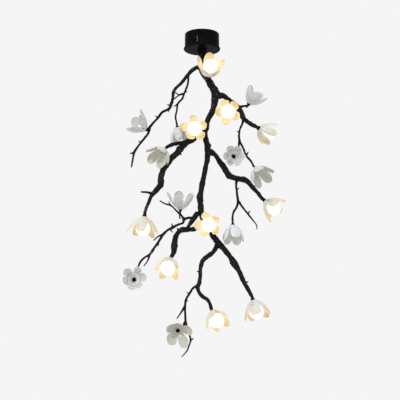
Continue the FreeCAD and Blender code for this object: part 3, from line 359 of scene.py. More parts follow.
def place_of(name):
    """End of the limb, and three directions of a blossom: two across it and its own axis."""
    blossom = BLOSSOMS[name]
    right, front, up = blossom.facing
    axis = unit(np.array([right, -front, up]))
    # The shortest swing of +Z onto the axis, after the turn about it.
    swing = np.cross([0, 0, 1], axis)
    cosine = axis[2]
    cross = np.array([[0, -swing[2], swing[1]], [swing[2], 0, -swing[0]], [-swing[1], swing[0], 0]])
    turned = np.eye(3) + cross + cross @ cross / (1 + cosine)
    if cosine < -0.9999:
        turned = np.diag([1.0, -1.0, -1.0])
    return on_drawing(*blossom.where), turned @ turned_by(blossom.turn)


def in_place(points, name):
    """Points drawn about a blossom's own axis, in mm, moved to the blossom, in metres."""
    base, turned = place_of(name)
    return points / 1000 @ turned.T + base


def lathe(profile, cols=64):
    """Skin turned about Z: every (radius, height) of the profile is a ring."""
    profile = np.asarray(profile, float)
    angle = np.arange(cols) * 2 * math.pi / cols
    radius, height = profile[:, :1], profile[:, 1:]
    return np.stack([radius * np.cos(angle), radius * np.sin(angle),
                     np.broadcast_to(height, (len(profile), cols))], -1)


# ---------------------------------------------------------------- limbs
THINNEST = 0.0006       # least diameter of a limb
BARK_STEP = 0.0016      # between two rings of points along a limb
SLENDER = 0.011         # diameter under which fewer points go round
KNOB_SPACING = 0.022    # between the small knobs of the bark, on the average
ROOT_SWELL = 1.35       # share by which a branch is thicker where it leaves its parent
TRUNK_TUCK = 0.004      # how far the trunk's bark reaches up round the stem
STEM_RADIUS = 11.5      # in mm


def line_of(route, tip):
    """Points and diameters of a limb, with the straight run into its blossom at the end."""
    points = [on_drawing(a, d, f) for a, d, f, width in route]
    widths = [width / 1000 for a, d, f, width in route]
    if tip:
        end, turned = place_of(tip)
        last = TIP_DIAMETER[BLOSSOMS[tip].lamp] / 1000
        points += [end - turned[:, 2] * TIP_RUN / 1000, end]
        widths += [0.5 * (widths[-1] + last), last]
    return points, widths


def bark(points, widths, seed, knobs=1.0, blunt=True):
    """Skin of a cast limb: a round section carried along the smooth line, its radius swollen by slow
    waves, long twisting ridges and a few knobs, and drawn to a point unless its end is blunt."""
    line, width, along = smooth_line(points, widths, BARK_STEP)
    side, up = square_to(line)
    chance = np.random.default_rng(seed)
    cols = 28 if max(widths) < SLENDER else 44
    angle = np.arange(cols) * 2 * math.pi / cols
    s, a = np.meshgrid(along, angle, indexing="ij")
    phase = chance.uniform(0, 2 * math.pi, 12)
    swell = (0.050 * np.sin(s / 0.0055 + phase[0]) * np.sin(s / 0.019 + phase[1])
             + 0.045 * np.sin(s / 0.0083 + phase[2]) + 0.03 * np.sin(s / 0.0031 + phase[3] + 2 * a))
    twist = 1.4 * np.sin(s / 0.06 + phase[4]) + 0.7 * np.sin(s / 0.023 + phase[5])
    ridge = (0.050 * np.cos(3 * (a + twist) + phase[6]) + 0.035 * np.cos(5 * a - 3 * twist + phase[7])
             + 0.022 * np.cos(8 * a + 5 * twist + s / 0.004 + phase[8])
             + 0.012 * np.cos(13 * a - 4 * twist + s / 0.0022 + phase[9]))
    radius = 0.5 * width[:, None] * (1 + swell + ridge)
    length = along[-1]
    count = int(knobs * length / KNOB_SPACING)
    where = chance.uniform(0.02 * length, 0.98 * length, count)
    facing = chance.uniform(0, 2 * math.pi, count)
    size = chance.uniform(0.10, 0.30, count)
    spread = chance.uniform(0.45, 0.8, count)
    around = np.angle(np.exp(1j * (a[..., None] - facing)))
    reach = (s[..., None] - where) / (0.5 * width[:, None, None] * spread * 1.6)
    bumps = size * np.exp(-reach ** 2 - (around / spread) ** 2)
    radius = radius * (1 + bumps.sum(-1))
    if not blunt:
        left = np.clip((length - along) / (0.5 * widths[-1] * 1.5 + 1e-9), 0, 1)
        radius = radius * np.sqrt(1 - (1 - left[:, None]) ** 2 * 0.98)
    return line[:, None] + radius[..., None] * (np.cos(a)[..., None] * side[:, None]
                                                + np.sin(a)[..., None] * up[:, None])


def bud_skin(root, tip, diameter):
    """Small bud: a round cone that leans towards its tip."""
    start, end = on_drawing(*root), on_drawing(*tip)
    share = np.linspace(0, 1, 10)
    line = start + share[:, None] * (end - start)
    side, up = square_to(line)
    radius = 0.62 * diameter / 1000 * (1 - share) ** 0.4 * (1 + 0.2 * np.sin(math.pi * share))
    angle = np.arange(14) * 2 * math.pi / 14
    return line[:, None] + np.maximum(radius, 0.0002)[:, None, None] * (
        np.cos(angle)[None, :, None] * side[:, None] + np.sin(angle)[None, :, None] * up[:, None])


def knot_skin(place, diameter, stretch, seed):
    """Knot: a ball drawn out along one direction, its radius stirred by three slow waves."""
    rows, cols = 22, 28
    polar = np.linspace(0.06, math.pi - 0.06, rows)[:, None]
    angle = (np.arange(cols) * 2 * math.pi / cols)[None]
    phase = np.random.default_rng(seed).uniform(0, 6, 3)
    radius = 0.5 * diameter / 1000 * (1 + 0.10 * np.sin(3 * angle + phase[0]) * np.sin(polar)
                                      + 0.09 * np.sin(4 * polar + phase[1])
                                      + 0.05 * np.sin(5 * angle + 3 * polar + phase[2]) * np.sin(polar))
    ball = np.stack([radius * np.sin(polar) * np.cos(angle), radius * np.sin(polar) * np.sin(angle),
                     -radius * np.cos(polar) * np.ones_like(angle)], -1)
    lengthened = unit(np.array(stretch, float))
    ball = ball + (ball @ lengthened)[..., None] * lengthened * 0.45
    return on_drawing(*place) + ball


def make_limbs(lacquer):
    """Every limb, twig and spur in place of its plain rod."""
    trunk_points, trunk_widths = line_of(TRUNK, None)
    trunk_points = [STEM_FOOT + [0, 0, TRUNK_TUCK]] + trunk_points
    trunk_widths = [2 * STEM_RADIUS / 1000] + trunk_widths
    knots = [knot_skin(*knot, number) for number, knot in enumerate(KNOTS["trunk"])]
    trunk = bark(trunk_points, trunk_widths, 11, 1.3, blunt=False)
    piece("trunk_cast", [trunk] + knots, lacquer, replaces=["trunk"])
    spurs = []
    seed = 20
    for name, lines in {**LIMBS, **TWIGS}.items():
        skins = []
        for route, tip in lines:
            seed += 1
            points, widths = line_of(route, tip)
            widths = [widths[0] * ROOT_SWELL] + widths[1:]
            skins.append(bark(points, widths, seed, blunt=bool(tip)))
        for root, end, diameter in BUDS.get(name, []):
            skins.append(bud_skin(root, end, diameter))
        for place, diameter, stretch in KNOTS.get(name, []):
            seed += 1
            skins.append(knot_skin(place, diameter, stretch, seed))
        if name in SPURS:
            spurs += skins
            continue
        piece(name + "_cast", skins, lacquer, replaces=[name])
    piece("blossom_spurs_cast", spurs, lacquer, replaces=["blossom_spurs"])


# ---------------------------------------------------------------- blossoms, in mm about their axis
SEAT = 5                # underside of the porcelain dish, above the end of the limb
DISH = 4                # thickness of the dish
DISH_TOP = SEAT + DISH
PETAL_LENGTH = 71
PETAL_WIDTH = 31
PETAL_THICK = 2.2
PETAL_START = 9.5       # how far off the axis a petal begins
PETAL_CLAW = 8.2        # half width at the dish, where neighbours overlap
PETAL_LEAN = 75         # lean at the dish, in degrees
PETAL_RISE = 0.8        # the most that one petal's foot lies over its neighbour's
OPEN_PETALS = 6         # petals of a wide open blossom, which has a saucer too


def turned_by(degrees):
    """Turn about the blossom's own axis."""
    spin = math.radians(degrees)
    return np.array([[math.cos(spin), -math.sin(spin), 0], [math.sin(spin), math.cos(spin), 0], [0, 0, 1]])


def petal_skin(lean, turn, length, width, twist, curl, phase, rise):
    """Spoon petal: a flat rounded section, bent into a cup, carried along a middle line that rises
    out of the dish; the width swells to a spoon and closes in a round tip, the rim waves a little."""
    rows, cols = 46, 48
    share = 1 - (1 - np.linspace(0, 1, rows)) ** 1.7
    lean = lean + (PETAL_LEAN - lean) * (1 - share) ** 2 + curl * share ** 4
    angle = np.radians(lean)
    step = np.diff(share, prepend=0) * length
    radius = PETAL_START - 2.5 + np.cumsum(step * np.sin(angle))
    height = SEAT + 0.4 + rise + np.cumsum(step * np.cos(angle))
    swell = np.sin(0.5 * math.pi * np.minimum(1, share / 0.62)) ** 1.3
    tip = np.sqrt(np.maximum(0, 1 - (np.maximum(0, share - 0.66) / 0.342) ** 2.3))
    half = (PETAL_CLAW + (0.5 * width - PETAL_CLAW) * swell) * tip
    cup = 0.36 * half * np.minimum(1, 0.3 + 3 * share)
    section = np.arange(cols) * 2 * math.pi / cols
    across = np.sign(np.cos(section)) * np.abs(np.cos(section)) ** 0.85
    thick = 0.5 * PETAL_THICK * (0.55 + 0.45 * np.minimum(1, tip * 1.4)) * (1 - 0.25 * share)
    inward = np.stack([-np.cos(angle), np.zeros(rows), np.sin(angle)], -1)
    middle = np.stack([radius, np.zeros(rows), height], -1)
    wave = 0.9 * np.sin(share * 9 + phase)[:, None] * across[None] ** 3 * share[:, None]
    groove = -0.35 * np.exp(-(across / 0.10) ** 2)[None] * np.sin(math.pi * share)[:, None]
    lift = cup[:, None] * across[None] ** 2 + wave + groove + 0.5 * PETAL_THICK
    lift = lift + thick[:, None] * np.sin(section)[None]
    spread = half[:, None] * across[None] + twist * share[:, None] ** 2
    skin = middle[:, None] + lift[..., None] * inward[:, None]
    skin = skin + spread[..., None] * np.array([0, 1, 0])
    return skin @ turned_by(turn).T


def dish_skin():
    """Porcelain dish that joins the petals: a shallow bowl with a hole in its middle."""
    return lathe([(5, SEAT + 0.2), (8, SEAT), (11, SEAT + 0.5), (13.5, SEAT + 2), (15.2, SEAT + 3.8),
                  (15.4, DISH_TOP + 1), (14.8, DISH_TOP + 1.3), (13.6, DISH_TOP + 0.9), (12, DISH_TOP),
                  (9, DISH_TOP - 0.2), (5, DISH_TOP - 0.2)], 72)


def saucer_skin():
    """Raised saucer of an open blossom, with a ring half way and a rolled rim."""
    low = DISH_TOP + 0.6
    return lathe([(6.6, low), (12, low + 1.5), (17, low + 4), (20.0, low + 8), (21.6, low + 11),
                  (21.4, low + 12.4), (20.4, low + 12.8), (19.2, low + 12), (17.6, low + 8.6),
                  (15.8, low + 6.4), (14.8, low + 7.6), (13.8, low + 8), (12.9, low + 7.2),
                  (12.2, low + 4.6), (10.5, low + 3.2), (9.6, low + 3.6), (8.8, low + 3),
                  (6.6, low + 1.2)], 80)


def make_blossoms(painted_lamp_light_glaze, white_glaze, painted_light_glaze):
    """Twenty blossoms, each with its own uneven petals, in place of the plain shells."""
    for number, (name, blossom) in enumerate(BLOSSOMS.items()):
        habit = HABITS.get(name, LIT_HABIT if blossom.lamp else UNLIT_HABIT)
        turned, opened, wide, lengths = habit
        chance = np.random.default_rng(100 + number)
        skins = [dish_skin()]
        if blossom.petals == OPEN_PETALS:
            skins.append(saucer_skin())
        for index in range(blossom.petals):
            change = chance.uniform(-1, 1, 7)
            long = lengths[index] if lengths else 1
            skins.append(petal_skin(blossom.lean + opened + 1.5 + 5 * change[0],
                                    turned + 360 / blossom.petals * index + 6 * change[1],
                                    PETAL_LENGTH * long * (0.98 + 0.03 * change[2]),
                                    PETAL_WIDTH * wide * (1.02 + 0.09 * change[3]),
                                    2.4 * change[4], 13 * change[5], 6 * change[6],
                                    PETAL_RISE * (index * 2 % blossom.petals) / blossom.petals))
        skins = [in_place(skin, name) for skin in skins]
        glaze, slot = white_glaze, "white_porcelain"
        if blossom.lamp:
            glaze, slot = painted_lamp_light_glaze, "lit_porcelain"
        elif name in PAINTED_LIGHT_BLOSSOMS:
            glaze = painted_light_glaze
        piece("porcelain_" + name, skins, glaze, replaces=["blossom_" + name])


# ---------------------------------------------------------------- fittings, in mm about the same axis
GLOBE_RADIUS = 24.0
GLOBE_FOOT = 8.0        # radius of the lamp's foot
GLOBE_LOW = DISH_TOP + 12.3     # underside of the foot, on the lampholder
PIN_OFF = 4.5           # how far a pin stands off the axis
PIN_FOOT = GLOBE_LOW - 5.7


def calyx_skin(foot):
    """Cup behind a blossom, from the end of its limb, whose radius is foot, out to the dish."""
    return lathe([(foot - 0.8, -2.4), (foot + 0.4, -1.6), (foot + 1.6, -0.4), (foot + 2.2, 1.0),
                  (max(foot + 2.4, 7.4), 2.4), (8.3, 3.6), (8.6, 4.4), (8.2, 4.9), (4.5, 4.95)], 40)


def button_skin():
    """Button that closes the middle of an unlit blossom: a flat foot, a waist and a round top."""
    top = DISH_TOP
    return lathe([(3, top - 0.5), (6.4, top), (6.8, top + 0.6), (6.9, top + 1.6), (6.3, top + 2.2),
                  (5.9, top + 2.4), (5.9, top + 4.4), (5.5, top + 6), (4.5, top + 7.4),
                  (3, top + 8.4), (1.4, top + 8.9), (0.3, top + 9)], 40)


def lamp_skins():
    """Frosted lamp: a short straight foot that passes into a ball, and two contact pins below."""
    low = GLOBE_LOW
    begin = math.asin(GLOBE_FOOT / GLOBE_RADIUS)    # where the foot meets the ball
    polar = np.linspace(begin + 0.02, math.pi - 0.02, 40)
    ball = [(GLOBE_RADIUS * math.sin(p), low + GLOBE_RADIUS - GLOBE_RADIUS * math.cos(p)) for p in polar]
    skins = [lathe([(0.5, low), (GLOBE_FOOT - 0.8, low), (GLOBE_FOOT - 0.2, low + 0.3),
                    (GLOBE_FOOT, low + 1)] + ball, 56)]
    for sign in (-1, 1):
        pin = lathe([(0.1, PIN_FOOT), (0.5, PIN_FOOT + 0.1), (0.7, PIN_FOOT + 0.5), (0.7, low + 0.4)], 16)
        skins.append(pin + np.array([sign * PIN_OFF, 0, 0]))
    return skins


def make_fittings(lacquer, frosted):
    """Calyx cups, centre buttons and lamps, each turned about its blossom's axis."""
    calyxes = {True: [], False: []}
    buttons = []
    for name, blossom in BLOSSOMS.items():
        calyxes[blossom.lamp].append(in_place(calyx_skin(TIP_DIAMETER[blossom.lamp] / 2), name))
        if blossom.lamp:
            piece("globe_" + name, [in_place(skin, name) for skin in lamp_skins()], frosted,
                  body="bulb_" + name, replaces=["bulb_" + name])
        else:
            buttons.append(in_place(button_skin(), name))
    piece("lamp_calyx_cups", calyxes[True], lacquer, replaces=["lamp_calyxes"])
    piece("blossom_calyx_cups", calyxes[False], lacquer, replaces=["blossom_calyxes"])
    piece("centre_buttons", buttons, lacquer, replaces=["cap_nuts"])


# ---------------------------------------------------------------- canopy, collar and stem, in mm
CANOPY_RADIUS = 61.0
CANOPY_INSIDE = 59.5
CANOPY_LOW, CANOPY_HIGH = -57.4, -0.4
CANOPY_FLOOR = CANOPY_LOW + 2.5
BEAD_RADIUS = 3.4       # of the rolled rim
COLLAR_TOP = -57.7
SLIDING_RADIUS = 11.9   # of the holes that pass over the stem
STEM_TOP, STEM_LOW = -47.4, -113.4
STEM_BORE = 5.3
NIPPLE_RADIUS = 6.5


def make_canopy(lacquer):
    """Canopy, collar and stem: profiles of radius and height turned about the stem's line."""
    low, high = CANOPY_LOW, CANOPY_HIGH
    bead = [(61.5 + BEAD_RADIUS * math.cos(a), low + 3.6 + BEAD_RADIUS * math.sin(a))
            for a in np.linspace(-0.5, 0.5, 13) * math.pi]
    cup = [(11.95, low + 2.4), (SLIDING_RADIUS, low), (13, low), (34, low), (52, low), (58, low)]
    cup += bead + [(61.4, low + 7.6), (CANOPY_RADIUS, low + 9), (CANOPY_RADIUS, low + 12),
                   (CANOPY_RADIUS, -30), (CANOPY_RADIUS, high - 1.2), (60.6, high - 0.4), (60, high),
                   (CANOPY_INSIDE, high), (CANOPY_INSIDE, high - 1), (CANOPY_INSIDE, -30),
                   (CANOPY_INSIDE, low + 3.4), (58.6, CANOPY_FLOOR), (40, CANOPY_FLOOR),
                   (12.6, CANOPY_FLOOR)]
    top = COLLAR_TOP
    ring = [(SLIDING_RADIUS, top - 0.4), (12.3, top), (16.4, top), (17, top - 0.6), (17, top - 3.4),
            (16.8, top - 4), (16.4, top - 4.6), (15.2, top - 8), (14.3, top - 12), (13.9, top - 13.4),
            (13.3, top - 14), (12.3, top - 14), (SLIDING_RADIUS, top - 13.6)]
    tube = [(6.6, STEM_TOP), (11, STEM_TOP), (STEM_RADIUS, STEM_TOP - 0.5), (STEM_RADIUS, -60),
            (STEM_RADIUS, -90), (STEM_RADIUS, STEM_LOW), (9, STEM_LOW), (STEM_BORE, STEM_LOW),
            (STEM_BORE, -80), (STEM_BORE, -63.5), (NIPPLE_RADIUS, -63.4), (NIPPLE_RADIUS, -55)]
    for name, profile, cols, node, body in (("canopy_cup", cup, 160, "canopy", "canopy"),
                                            ("collar_ring", ring, 96, "canopy_collar", "collar"),
                                            ("stem_tube", tube, 72, "stem", FRAME_BODY)):
        piece(name, [lathe(profile, cols) / 1000], lacquer, replaces=[node], body=body, holed=True)


# ---------------------------------------------------------------- finishes

class Nodes:
    """A node tree in the making, with short ways to join nodes."""

    def __init__(self, tree):
        self.tree = tree

    def node(self, kind, links=None, **settings):
        """New node; settings are its properties, links its inputs as sockets or values."""
        made = self.tree.nodes.new(kind)
        for prop, value in settings.items():
            setattr(made, prop, value)
        for socket, value in (links or {}).items():
            if isinstance(value, bpy.types.NodeSocket):
                self.tree.links.new(value, made.inputs[socket])
            else:
                made.inputs[socket].default_value = value
        return made

    def spread(self, factor, low, high, start=0.0, end=1.0):
        """The factor from start to end, taken to the values low to high."""
        return self.node("ShaderNodeMapRange", {"Value": factor, "From Min": start, "From Max": end,
                                                "To Min": low, "To Max": high}).outputs[0]

    def maths(self, kind, first, second=0.0):
        """One sum of two numbers."""
        return self.node("ShaderNodeMath", {0: first, 1: second}, operation=kind).outputs[0]

    def mix(self, factor, first, second, blend="MIX"):
        """Mixed colours."""
        made = self.node("ShaderNodeMix", {"Factor": factor, 6: first, 7: second}, data_type="RGBA",
                         blend_type=blend)
        return made.outputs[2]

    def seen_straight(self):
        """One for a ray that comes from the camera, a mirror or through glass, else nought."""
        path = self.node("ShaderNodeLightPath").outputs
        seen = self.maths("MAXIMUM", path["Is Camera Ray"], path["Is Glossy Ray"])
        return self.maths("MAXIMUM", seen, path["Is Transmission Ray"])


class Finish(Nodes):
    """A node material in the making, with its shader."""

    def __init__(self, name, **sockets):
        self.material = bpy.data.materials.new(name)
        self.material.use_nodes = True
        super().__init__(self.material.node_tree)
        self.shader = self.tree.nodes["Principled BSDF"]
        for socket, value in sockets.items():
            self.shader.inputs[socket.replace("_", " ")].default_value = value
        self.coords = self.tree.nodes.new("ShaderNodeTexCoord")

    def noise(self, scale, detail=3, roughness=0.55, stretch=(1, 1, 1), source="Object"):
        """Noise on object or UV coordinates."""
        mapping = self.node("ShaderNodeMapping", {"Vector": self.coords.outputs[source], "Scale": stretch})
        return self.node("ShaderNodeTexNoise", {"Vector": mapping.outputs[0], "Scale": scale,
                                                "Detail": detail, "Roughness": roughness}).outputs["Fac"]

    def ramp(self, factor, *stops):
        """Colour ramp through (place, colour) stops."""
        made = self.node("ShaderNodeValToRGB", {"Fac": factor})
        while len(made.color_ramp.elements) < len(stops):
            made.color_ramp.elements.new(0.5)
        for element, (place, colour) in zip(made.color_ramp.elements, stops):
            element.position = place
            element.color = (*colour, 1)
        return made.outputs[0]

    def join(self, socket, output):
        """Link an output to a socket of the shader."""
        self.tree.links.new(output, self.shader.inputs[socket])

    def bump(self, height, distance, strength=1.0):
        """Bump from a height, in metres."""
        made = self.node("ShaderNodeBump", {"Height": height, "Distance": distance, "Strength": strength})
        self.join("Normal", made.outputs[0])

    def uv(self):
        """Share along and share round of the piece's skins."""
        apart = self.node("ShaderNodeSeparateXYZ", {"Vector": self.coords.outputs["UV"]})
        return apart.outputs["X"], apart.outputs["Y"]


def lacquer_finish(name, colour, bark_depth, gloss, coat):
    """Black lacquer: nearly even colour, dull patches, and the fine grain of the casting below."""
    finish = Finish(name, IOR=1.4, Specular_IOR_Level=gloss, Coat_Weight=coat, Coat_Roughness=0.06)
    wide = finish.noise(28, 4)
    fine = finish.noise(420, 5, 0.65)
    finish.join("Base Color", finish.ramp(wide, (0.3, colour), (0.62, tuple(2.2 * c for c in colour)),
                                          (0.75, tuple(1.2 * c for c in colour))))
    finish.join("Roughness", finish.spread(wide, 0.09, 0.26, 0.3, 0.7))
    if bark_depth:
        grain = finish.maths("ADD", finish.noise(130, 6, 0.7), finish.maths("MULTIPLY", fine, 0.4))
        finish.bump(grain, bark_depth)
    else:
        finish.bump(fine, 0.00002)
    return finish.material


def porcelain_finish(name, inside_painted_tint, outside_painted_tint, tip, outer_tip, rim, painted_glow_strength):
    """Glazed porcelain: veins along the petal, one tint inside and one outside that paint light and shade,
    each passing into a tip tint and a rim painted paler; a lit one has its lamp's light painted on, as warm
    tints and as light given out by its petals."""
    finish = Finish(name, IOR=1.45, Coat_Weight=0.15, Coat_Roughness=0.12)
    along, round_it = finish.uv()
    turn = finish.maths("SINE", finish.maths("MULTIPLY", round_it, 2 * math.pi))
    # Inside mask: the inside faces the cup. The inside and outside tints paint light and shade: the lamp's
    # warm light inside a lit blossom, painted shade inside an unlit one, a lighter outside.
    inside = finish.spread(turn, 0, 1, -0.25, 0.25)
    mottle = finish.noise(38, 5, 0.6)
    cloud = finish.noise(30, 3)
    drift = finish.maths("ADD", along, finish.maths("MULTIPLY", finish.maths("SUBTRACT", cloud, 0.5), 1.1))
    reach = finish.spread(drift, 0, 1, 0.25, 0.9)
    coloured = finish.mix(inside, finish.mix(reach, (*outside_painted_tint, 1), (*outer_tip, 1)),
                          finish.mix(reach, (*inside_painted_tint, 1), (*tip, 1)))
    # Random patches of the tip tint: a tone that differs at random on unlit petals; on lit petals, stronger
    # and deeper orange, they are part of the painted lamp light.
    patch = finish.spread(cloud, 0, 0.62 if painted_glow_strength else 0.25, 0.46, 0.66)
    coloured = finish.mix(patch, coloured, (*tip, 1), "MULTIPLY")
    # Painted highlight: the edges of each petal are made paler than its middle, which is left deeper as if
    # shaded in the cup.
    painted_rim_light = finish.maths("ABSOLUTE", finish.maths("COSINE", finish.maths("MULTIPLY", round_it, 2 * math.pi)))
    coloured = finish.mix(finish.spread(painted_rim_light, 0, 0.75, 0.70, 0.98), coloured, (*rim, 1))
    specks = finish.ramp(mottle, (0.3, (0.84, 0.83, 0.81)), (0.7, (1, 1, 1)))
    coloured = finish.mix(0.09, coloured, specks, "MULTIPLY")
    veins = finish.noise(1, 4, 0.6, (2.2, 46, 1), "UV")
    lines = finish.ramp(veins, (0.35, (0.74, 0.73, 0.71)), (0.55, (1, 1, 1)))
    finish.join("Base Color", finish.mix(0.14, coloured, lines, "MULTIPLY"))
    finish.join("Roughness", finish.spread(mottle, 0.16, 0.3, 0.3, 0.7))
    relief = finish.maths("ADD", finish.maths("MULTIPLY", veins, 0.7), finish.maths("MULTIPLY", mottle, 0.3))
    finish.bump(relief, 0.00014)
    # Painted lamp light: the petals of a lit blossom give out light of their own colour, stronger towards the
    # tips, though they are no lamp.
    if painted_glow_strength:
        finish.join("Emission Color", coloured)
        finish.join("Emission Strength", finish.maths("MULTIPLY", finish.spread(drift, 0.6, 1.3), painted_glow_strength))
    return finish.material


LAMP_LIGHT = 1.0


def frosted_finish():
    """Frosted glass that shines: a little dimmer round the foot and in faint streaks."""
    finish = Finish("frosted_lamp_glass", Roughness=0.45, IOR=1.45)
    along, round_it = finish.uv()
    streak = finish.noise(60, 4, 0.6)
    finish.join("Base Color", finish.ramp(streak, (0.3, (0.93, 0.91, 0.86)), (0.7, (0.98, 0.96, 0.92))))
    finish.join("Emission Color", finish.ramp(along, (0.04, (1, 0.78, 0.5)), (0.22, (1, 0.93, 0.8)),
                                              (0.5, (1, 0.97, 0.9))))
    finish.join("Emission Strength", finish.spread(streak, LAMP_LIGHT * 0.94, LAMP_LIGHT, 0.3, 0.7))
    finish.bump(finish.noise(900, 3), 0.00003)
    return finish.material


def steel_finish():
    """Zinc-plated steel: fine scratches and cloudy plating."""
    finish = Finish("zinc_plated_steel", Metallic=1.0)
    cloud = finish.noise(60, 5)
    scratch = finish.noise(900, 4, 0.6, (0.05, 1, 1))
    finish.join("Base Color", finish.ramp(cloud, (0.3, (0.46, 0.46, 0.45)), (0.7, (0.68, 0.68, 0.66))))
    finish.join("Roughness", finish.spread(scratch, 0.26, 0.5, 0.3, 0.7))
    finish.bump(scratch, 0.00004)
    return finish.material


def brass_finish():
    """Plain brass with darker patches of tarnish."""
    finish = Finish("earth_screw_brass", Metallic=1.0)
    cloud = finish.noise(150, 5)
    finish.join("Base Color", finish.ramp(cloud, (0.3, (0.42, 0.27, 0.09)), (0.6, (0.75, 0.56, 0.24))))
    finish.join("Roughness", finish.spread(cloud, 0.45, 0.24, 0.3, 0.7))
    finish.bump(finish.noise(700, 3), 0.00004)
    return finish.material


def jacket_finish(name, dark, light):
    """Soft insulation: slightly chalky, with faint marks of the die."""
    finish = Finish(name, IOR=1.45)
    cloud = finish.noise(180, 4)
    finish.join("Base Color", finish.ramp(cloud, (0.3, dark), (0.7, light)))
    finish.join("Roughness", finish.spread(cloud, 0.42, 0.6, 0.3, 0.7))
    finish.bump(finish.noise(600, 3, 0.5, (1, 1, 0.1)), 0.00004)
    return finish.material


def ceramic_finish():
    """Plain unglazed lampholder ceramic with fine specks."""
    finish = Finish("lampholder_ceramic", IOR=1.5)
    speck = finish.noise(520, 6, 0.7)
    finish.join("Base Color", finish.ramp(speck, (0.3, (0.66, 0.63, 0.57)), (0.5, (0.82, 0.8, 0.75))))
    finish.join("Roughness", finish.spread(speck, 0.55, 0.8, 0.3, 0.7))
    finish.bump(speck, 0.00006)
    return finish.material


def floor_finish():
    """Pale studio floor; the camera and mirrors see it lifted to white, with its shadows."""
    finish = Finish("pale_floor", Roughness=0.8, Emission_Color=(0.26, 0.21, 0.16, 1))
    finish.join("Base Color", finish.ramp(finish.noise(0.8, 3), (0.3, (0.84, 0.82, 0.80)),
                                          (0.7, (0.87, 0.85, 0.83))))
    finish.join("Emission Strength", finish.seen_straight())
    return finish.material


# ---------------------------------------------------------------- stage

BACKGROUND = (0.913, 0.913, 0.913, 1)
LIGHT_FROM_ABOVE = (0.70, 0.76, 0.82, 1)
LIGHT_FROM_BELOW = (0.50, 0.475, 0.43, 1)
SENSOR = 36             # width of the camera's sensor, in mm
FAR = 50                # furthest distance that the camera sees
LAMP_AIM = (0, 0, -0.6)
# Lamps: place, power in watts and width.
LAMPS = {"left_softbox": ((-1.6, -2.6, 1.1), 36, 0.4), "right_lamp": ((2.2, -1.9, 0.4), 9, 0.22)}
FLOOR_HALF, FLOOR_LEVEL = 4.0, -2.4


def make_camera(scene):
    """Camera where the drawing's eye is."""
    camera = bpy.data.cameras.new("front_camera")
    camera.lens = SENSOR * SIGHT / SQUARES_ACROSS
    camera.sensor_width = SENSOR
    camera.clip_end = FAR
    eye = bpy.data.objects.new("front_camera", camera)
    eye.location = EYE
    eye.rotation_euler = Euler((math.radians(90) + TILT, 0, 0))
    scene.collection.objects.link(eye)
    scene.camera = eye


def make_world(scene):
    """White world for what is seen straight; the rest is lit by a soft sky, warmer from below."""
    world = bpy.data.worlds.new("studio")
    world.use_nodes = True
    world.node_tree.nodes.clear()
    scene.world = world
    sky = Nodes(world.node_tree)
    ray = sky.node("ShaderNodeTexCoord").outputs["Generated"]
    height = sky.spread(sky.node("ShaderNodeSeparateXYZ", {0: ray}).outputs["Z"], 0, 1, -1, 1)
    light = sky.node("ShaderNodeBackground", {"Color": sky.mix(height, LIGHT_FROM_BELOW, LIGHT_FROM_ABOVE)})
    white = sky.node("ShaderNodeBackground", {"Color": BACKGROUND})
    shown = sky.node("ShaderNodeMixShader", {"Fac": sky.seen_straight(), 1: light.outputs[0],
                                             2: white.outputs[0]})
    sky.node("ShaderNodeOutputWorld", {"Surface": shown.outputs[0]})


def make_lamps(scene):
    """Two soft lamps in front, turned towards the middle of the object."""
    for name, (place, power, wide) in LAMPS.items():
        lamp = bpy.data.lights.new(name, "AREA")
        lamp.energy = power
        lamp.size = wide
        made = bpy.data.objects.new(name, lamp)
        made.location = place
        facing = np.array(LAMP_AIM, float) - place
        made.rotation_euler = Euler((math.acos(-facing[2] / np.linalg.norm(facing)), 0,
                                     math.atan2(facing[1], facing[0]) - math.pi / 2))
        scene.collection.objects.link(made)


def make_floor(scene):
    """Square studio floor well below the lamp."""
    half, level = FLOOR_HALF, FLOOR_LEVEL
    mesh = bpy.data.meshes.new("studio_floor")
    mesh.from_pydata([(-half, -half, level), (half, -half, level), (half, half, level), (-half, half, level)],
                     [], [(0, 1, 2, 3)])
    mesh.materials.append(floor_finish())
    floor = bpy.data.objects.new("studio_floor", mesh)
    scene.collection.objects.link(floor)


# ---------------------------------------------------------------- the whole lamp

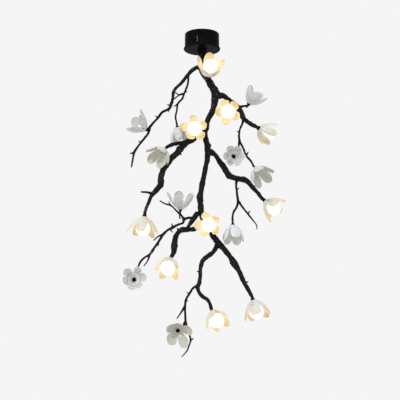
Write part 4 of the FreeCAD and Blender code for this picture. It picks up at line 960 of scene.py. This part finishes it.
limb_lacquer = lacquer_finish("limb_lacquer", (0.005, 0.0045, 0.004), 0.0009, 0.05, 0.16)
gloss_lacquer = lacquer_finish("canopy_lacquer", (0.003, 0.003, 0.0035), 0, 0.008, 0.02)
# Lit glaze: its lamp's light painted on, warm inside and deeper orange towards the tips, with light given out
# by the petals.
painted_lamp_light_glaze = porcelain_finish("painted_lamp_light_porcelain_glaze", (0.80, 0.69, 0.45), (0.78, 0.77, 0.72),
                             (0.76, 0.60, 0.33), (0.80, 0.70, 0.49), (0.86, 0.79, 0.62), 0.12)
# White glaze: painted shade, darker and warmer inside the cup than outside.
white_glaze = porcelain_finish("white_porcelain_glaze", (0.74, 0.71, 0.63), (0.80, 0.80, 0.78),
                               (0.78, 0.75, 0.67), (0.75, 0.73, 0.68), (0.85, 0.84, 0.81), 0)
# Lighter, bluer copy of the white glaze: painted light from above.
painted_light_glaze = porcelain_finish("painted_light_porcelain_glaze", (0.88, 0.86, 0.80), (0.84, 0.87, 0.89),
                              (0.88, 0.87, 0.82), (0.84, 0.87, 0.88), (0.88, 0.89, 0.88), 0)
stage = bpy.context.scene
make_camera(stage)
make_world(stage)
make_lamps(stage)
make_floor(stage)
stage.view_settings.view_transform = "Standard"
make_canopy(gloss_lacquer)
make_limbs(limb_lacquer)
make_blossoms(painted_lamp_light_glaze, white_glaze, painted_light_glaze)
make_fittings(gloss_lacquer, frosted_finish())
steel = steel_finish()
CAD_FINISHES = {
    "nipple": steel, "crossbar": steel, "nipple_nuts": steel,
    "earth_screw": brass_finish(),
    "supply_leads": jacket_finish("lead_insulation", (0.58, 0.58, 0.55), (0.72, 0.72, 0.69)),
    "earth_lead": jacket_finish("earth_insulation", (0.10, 0.26, 0.07), (0.2, 0.42, 0.14)),
    "wire_caps": jacket_finish("wire_cap_plastic", (0.6, 0.22, 0.04), (0.75, 0.32, 0.07)),
    "limb_wiring": jacket_finish("bundle_insulation", (0.5, 0.5, 0.47), (0.66, 0.66, 0.63)),
    "lampholders": ceramic_finish(),
}
for node, finish in CAD_FINISHES.items():
    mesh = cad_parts[node].data
    mesh.materials.clear()
    mesh.materials.append(finish)
